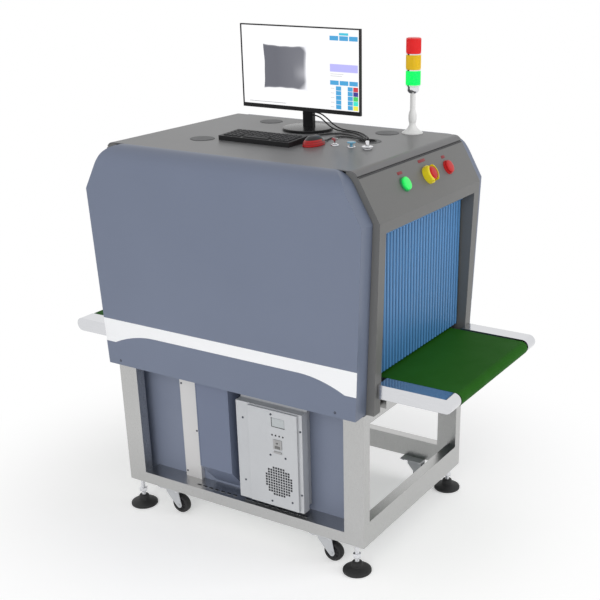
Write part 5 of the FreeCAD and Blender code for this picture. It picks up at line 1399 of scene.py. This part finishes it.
@dataclass
class Controls:
    """Crowned caps and plain colour plates on the console, and the slim switches of the deck."""

    x: float = 0.580
    z: float = 1.265
    rise: float = 0.086
    slope: float = math.radians(60)
    start_y: float = -0.126
    stop_y: float = 0.183
    switch_y: float = -0.027
    switches_x: Point = (0.214, 0.279, 0.341)
    switch_foot: float = 1.399

    def place(self, y: float, rise: float | None = None) -> Matrix:
        """A place on the sloping face: its X is across the console, its Y points up the slope.

        Args:
            y: Along the console.
            rise: Up the slope, or none for the height of the buttons.

        Returns:
            The place, with Z out of the face.
        """
        up = rise if rise is not None else self.rise
        normal = Vector((math.sin(self.slope), 0, math.cos(self.slope)))
        origin = Vector((self.x - up * math.cos(self.slope), y, self.z + up * math.sin(self.slope)))
        across = Vector((0, 1, 0))
        turn = Matrix((across, normal.cross(across), normal)).transposed().to_4x4()
        return Matrix.Translation(origin) @ turn

    def build(self) -> None:
        """Caps and rings, the deck's collars and switches, and the plates on the face."""
        for name, y, finish in (("start", self.start_y, GREEN), ("stop", self.stop_y, RED)):
            cap = lathe([(0, -0.023), (0.008, -0.023), (0.008, 0.005), (0.0215, 0.005), (0.022, 0.006),
                         (0.022, 0.0108), (0.0212, 0.0128), (0.019, 0.0141), (0.012, 0.0148),
                         (0, 0.015)], self.place(y), 64)
            make(f"{name}_cap", cap, finish,
                 f"{name}_button",
                 (f"{name}_button",))
        for name, y, finish in (("start", self.start_y, GREEN_SIDE), ("stop", self.stop_y, RED)):
            ring = lathe([(0.0223, 0), (0.025, 0), (0.025, 0.0032), (0.0243, 0.0052), (0.0235, 0.006),
                          (0.0223, 0.006), (0.0223, 0)], self.place(y), 64)
            make(f"{name}_ring", ring, finish)
        collars = [lathe([(0.009, 0), (0.014, 0), (0.014, 0.0016), (0.0134, 0.0026), (0.0125, 0.003),
                          (0.009, 0.003), (0.009, 0)], Matrix.Translation((x, self.switch_y, DECK_TOP)),
                          48) for x in self.switches_x]
        make("deck_collars", joined(collars), CHROME, replaces=("control_bezels",))
        push_place, knob_place = (Matrix.Translation((x, self.switch_y, self.switch_foot))
                                  for x in self.switches_x[1:])
        push = lathe([(0, 0), (0.0045, 0), (0.0045, 0.0322), (0.0138, 0.0326), (0.0148, 0.0334),
                      (0.0148, 0.0352), (0.0141, 0.0361), (0.010, 0.0364), (0, 0.0365)], push_place, 64)
        make("push_cap", push, BLUE, "deck_button", ("deck_button",))
        knob = lathe([(0, 0), (0.0055, 0), (0.0055, 0.0236), (0.0178, 0.0243), (0.0193, 0.0250),
                      (0.0195, 0.0262), (0.0188, 0.0270), (0.0072, 0.0276), (0.0064, 0.0285),
                      (0.0064, 0.0438), (0.0058, 0.0448), (0, 0.0450)], knob_place, 64)
        pointer = rounded_box((-0.0006, 0.0074, 0.0270), (0.0006, 0.0184, 0.0278), 0.0003).placed(knob_place)
        make("knob_cap", joined([knob, pointer]), CHROME, "deck_knob", ("deck_knob",))
        plates = [rounded_box((-half, -0.005, 0), (half, 0.005, 0.0006), 0.0003).placed(self.place(y, rise))
                  for y, half, rise in ((self.start_y, 0.0155, 0.125), (self.stop_y, 0.0125, 0.125),
                                        (0.036, 0.024, 0.138))]
        make("console_marks", joined(plates), LEGEND, sharp=50)


# Stage.


@dataclass
class Stage:
    """Floor, lamps, world and camera."""

    position: Point = (2.14225, -3.12432, 2.08220)
    pitch: float = 65.510
    yaw: float = 30.137
    lens: float = 63.785
    shift: tuple[float, float] = (-0.1136, 0.1893)
    fade_start: float = 0.7
    fade_end: float = 1.6
    sensor: float = 36.0
    floor_half: float = 12.0
    floor_shade: float = 0.86
    floor_lift: float = 0.34
    world_light: float = 0.5

    def camera(self) -> None:
        """The camera at the photograph's place."""
        data = bpy.data.cameras.new("view")
        data.lens = self.lens
        data.sensor_width = self.sensor
        data.shift_x, data.shift_y = self.shift
        item = bpy.data.objects.new("view", data)
        item.location = self.position
        item.rotation_euler = (math.radians(self.pitch), 0, math.radians(self.yaw))
        bpy.context.scene.collection.objects.link(item)
        bpy.context.scene.camera = item

    def lamp(self, name: str, at: Point, size: float, watts: float, target: Point = (0, 0, 0.9)) -> None:
        """A soft square lamp aimed at the machine. Gloss doesn't mirror it, so bare metal isn't blown out.

        Args:
            name: The lamp's name.
            at: Where it hangs.
            size: Length of its side.
            watts: Its power.
            target: What it is aimed at.
        """
        data = bpy.data.lights.new(name, "AREA")
        data.shape = "SQUARE"
        data.size = size
        data.energy = watts
        item = bpy.data.objects.new(name, data)
        item.location = at
        item.visible_glossy = False
        item.rotation_euler = (Vector(target) - Vector(at)).to_track_quat("-Z", "Y").to_euler()
        bpy.context.scene.collection.objects.link(item)

    def world(self) -> None:
        """White where the camera, gloss or glass looks, and dimmer as a light."""
        world = bpy.data.worlds.new("studio")
        bpy.context.scene.world = world
        world.use_nodes = True
        world.node_tree.nodes.clear()
        graph = Graph(world.node_tree)
        path = graph.add("ShaderNodeLightPath")
        seen = graph.math("MAXIMUM", path.outputs["Is Camera Ray"], path.outputs["Is Glossy Ray"])
        seen = graph.math("MAXIMUM", seen, path.outputs["Is Transmission Ray"])
        strength = graph.spread(seen, 0.0, 1.0, self.world_light, 1.0)
        ground = graph.add("ShaderNodeBackground", {"Color": (1, 1, 1, 1), "Strength": strength})
        graph.add("ShaderNodeOutputWorld", {"Surface": ground.outputs[0]})

    def floor(self) -> None:
        """A wide pale floor that keeps the machine's shadow."""
        reach = np.linspace(-self.floor_half, self.floor_half, 5)
        u, v = np.meshgrid(reach, reach, indexing="ij")
        shape = lattice(np.stack([u, v, 0 * u - 0.0005], axis=-1))
        mesh = bpy.data.meshes.new("floor")
        mesh.from_pydata(shape.points.tolist(), [], shape.faces)
        item = bpy.data.objects.new("floor", mesh)
        bpy.context.scene.collection.objects.link(item)
        material = bpy.data.materials.new("pale floor")
        material.use_nodes = True
        material.node_tree.nodes.clear()
        graph = Graph(material.node_tree)
        path = graph.add("ShaderNodeLightPath")
        seen = graph.math("MAXIMUM", path.outputs["Is Camera Ray"], path.outputs["Is Glossy Ray"])
        place = graph.add("ShaderNodeTexCoord").outputs["Object"]
        away = graph.add("ShaderNodeVectorMath", {0: place}, operation="LENGTH").outputs["Value"]
        fade = graph.math("MULTIPLY", seen,
                          graph.spread(away, self.fade_start, self.fade_end, 0.0, 1.0, smooth=True))
        matt = graph.add("ShaderNodeBsdfDiffuse", {"Color": (*[self.floor_shade] * 3, 1)})
        lift = graph.add("ShaderNodeEmission",
                         {"Color": (1, 1, 1, 1), "Strength": graph.math("MULTIPLY", seen, self.floor_lift)})
        near = graph.add("ShaderNodeAddShader", {0: matt.outputs[0], 1: lift.outputs[0]})
        white = graph.add("ShaderNodeEmission", {"Color": (1, 1, 1, 1), "Strength": 1.0})
        both = graph.add("ShaderNodeMixShader", {0: fade, 1: near.outputs[0], 2: white.outputs[0]})
        graph.add("ShaderNodeOutputMaterial", {"Surface": both.outputs[0]})
        mesh.materials.append(material)

    def build(self) -> None:
        """All of the stage."""
        self.camera()
        self.world()
        self.floor()
        self.lamp("key", (1.2, -4.7, 2.5), 3.0, 78)
        self.lamp("side", (4.4, 1.4, 2.1), 2.6, 68)
        self.lamp("low", (-0.8, -3.4, 0.25), 1.6, 17, (0, -0.3, 0.35))


def dress_frame() -> None:
    """Gives every CAD node its finish."""
    for name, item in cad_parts.items():
        finish = CAD_FINISHES.get(name, STEEL)
        item.data.materials.clear()
        item.data.materials.append(finish.material())


def main() -> None:
    """Builds the stage and every sub-assembly in order."""
    logging.basicConfig(level=logging.INFO, format="%(message)s")
    scene = bpy.context.scene
    scene.view_settings.view_transform = "Standard"
    Stage().build()
    Cables().build()
    dress_frame()
    for assembly in (Screen(), Keyboard(), SignalTower(), Curtains(), Footing(), BaseFront(), CoverDetails(),
                     Controls()):
        assembly.build()
        LOG.info("built %s", type(assembly).__name__)


if __name__ == "__main__":
    main()
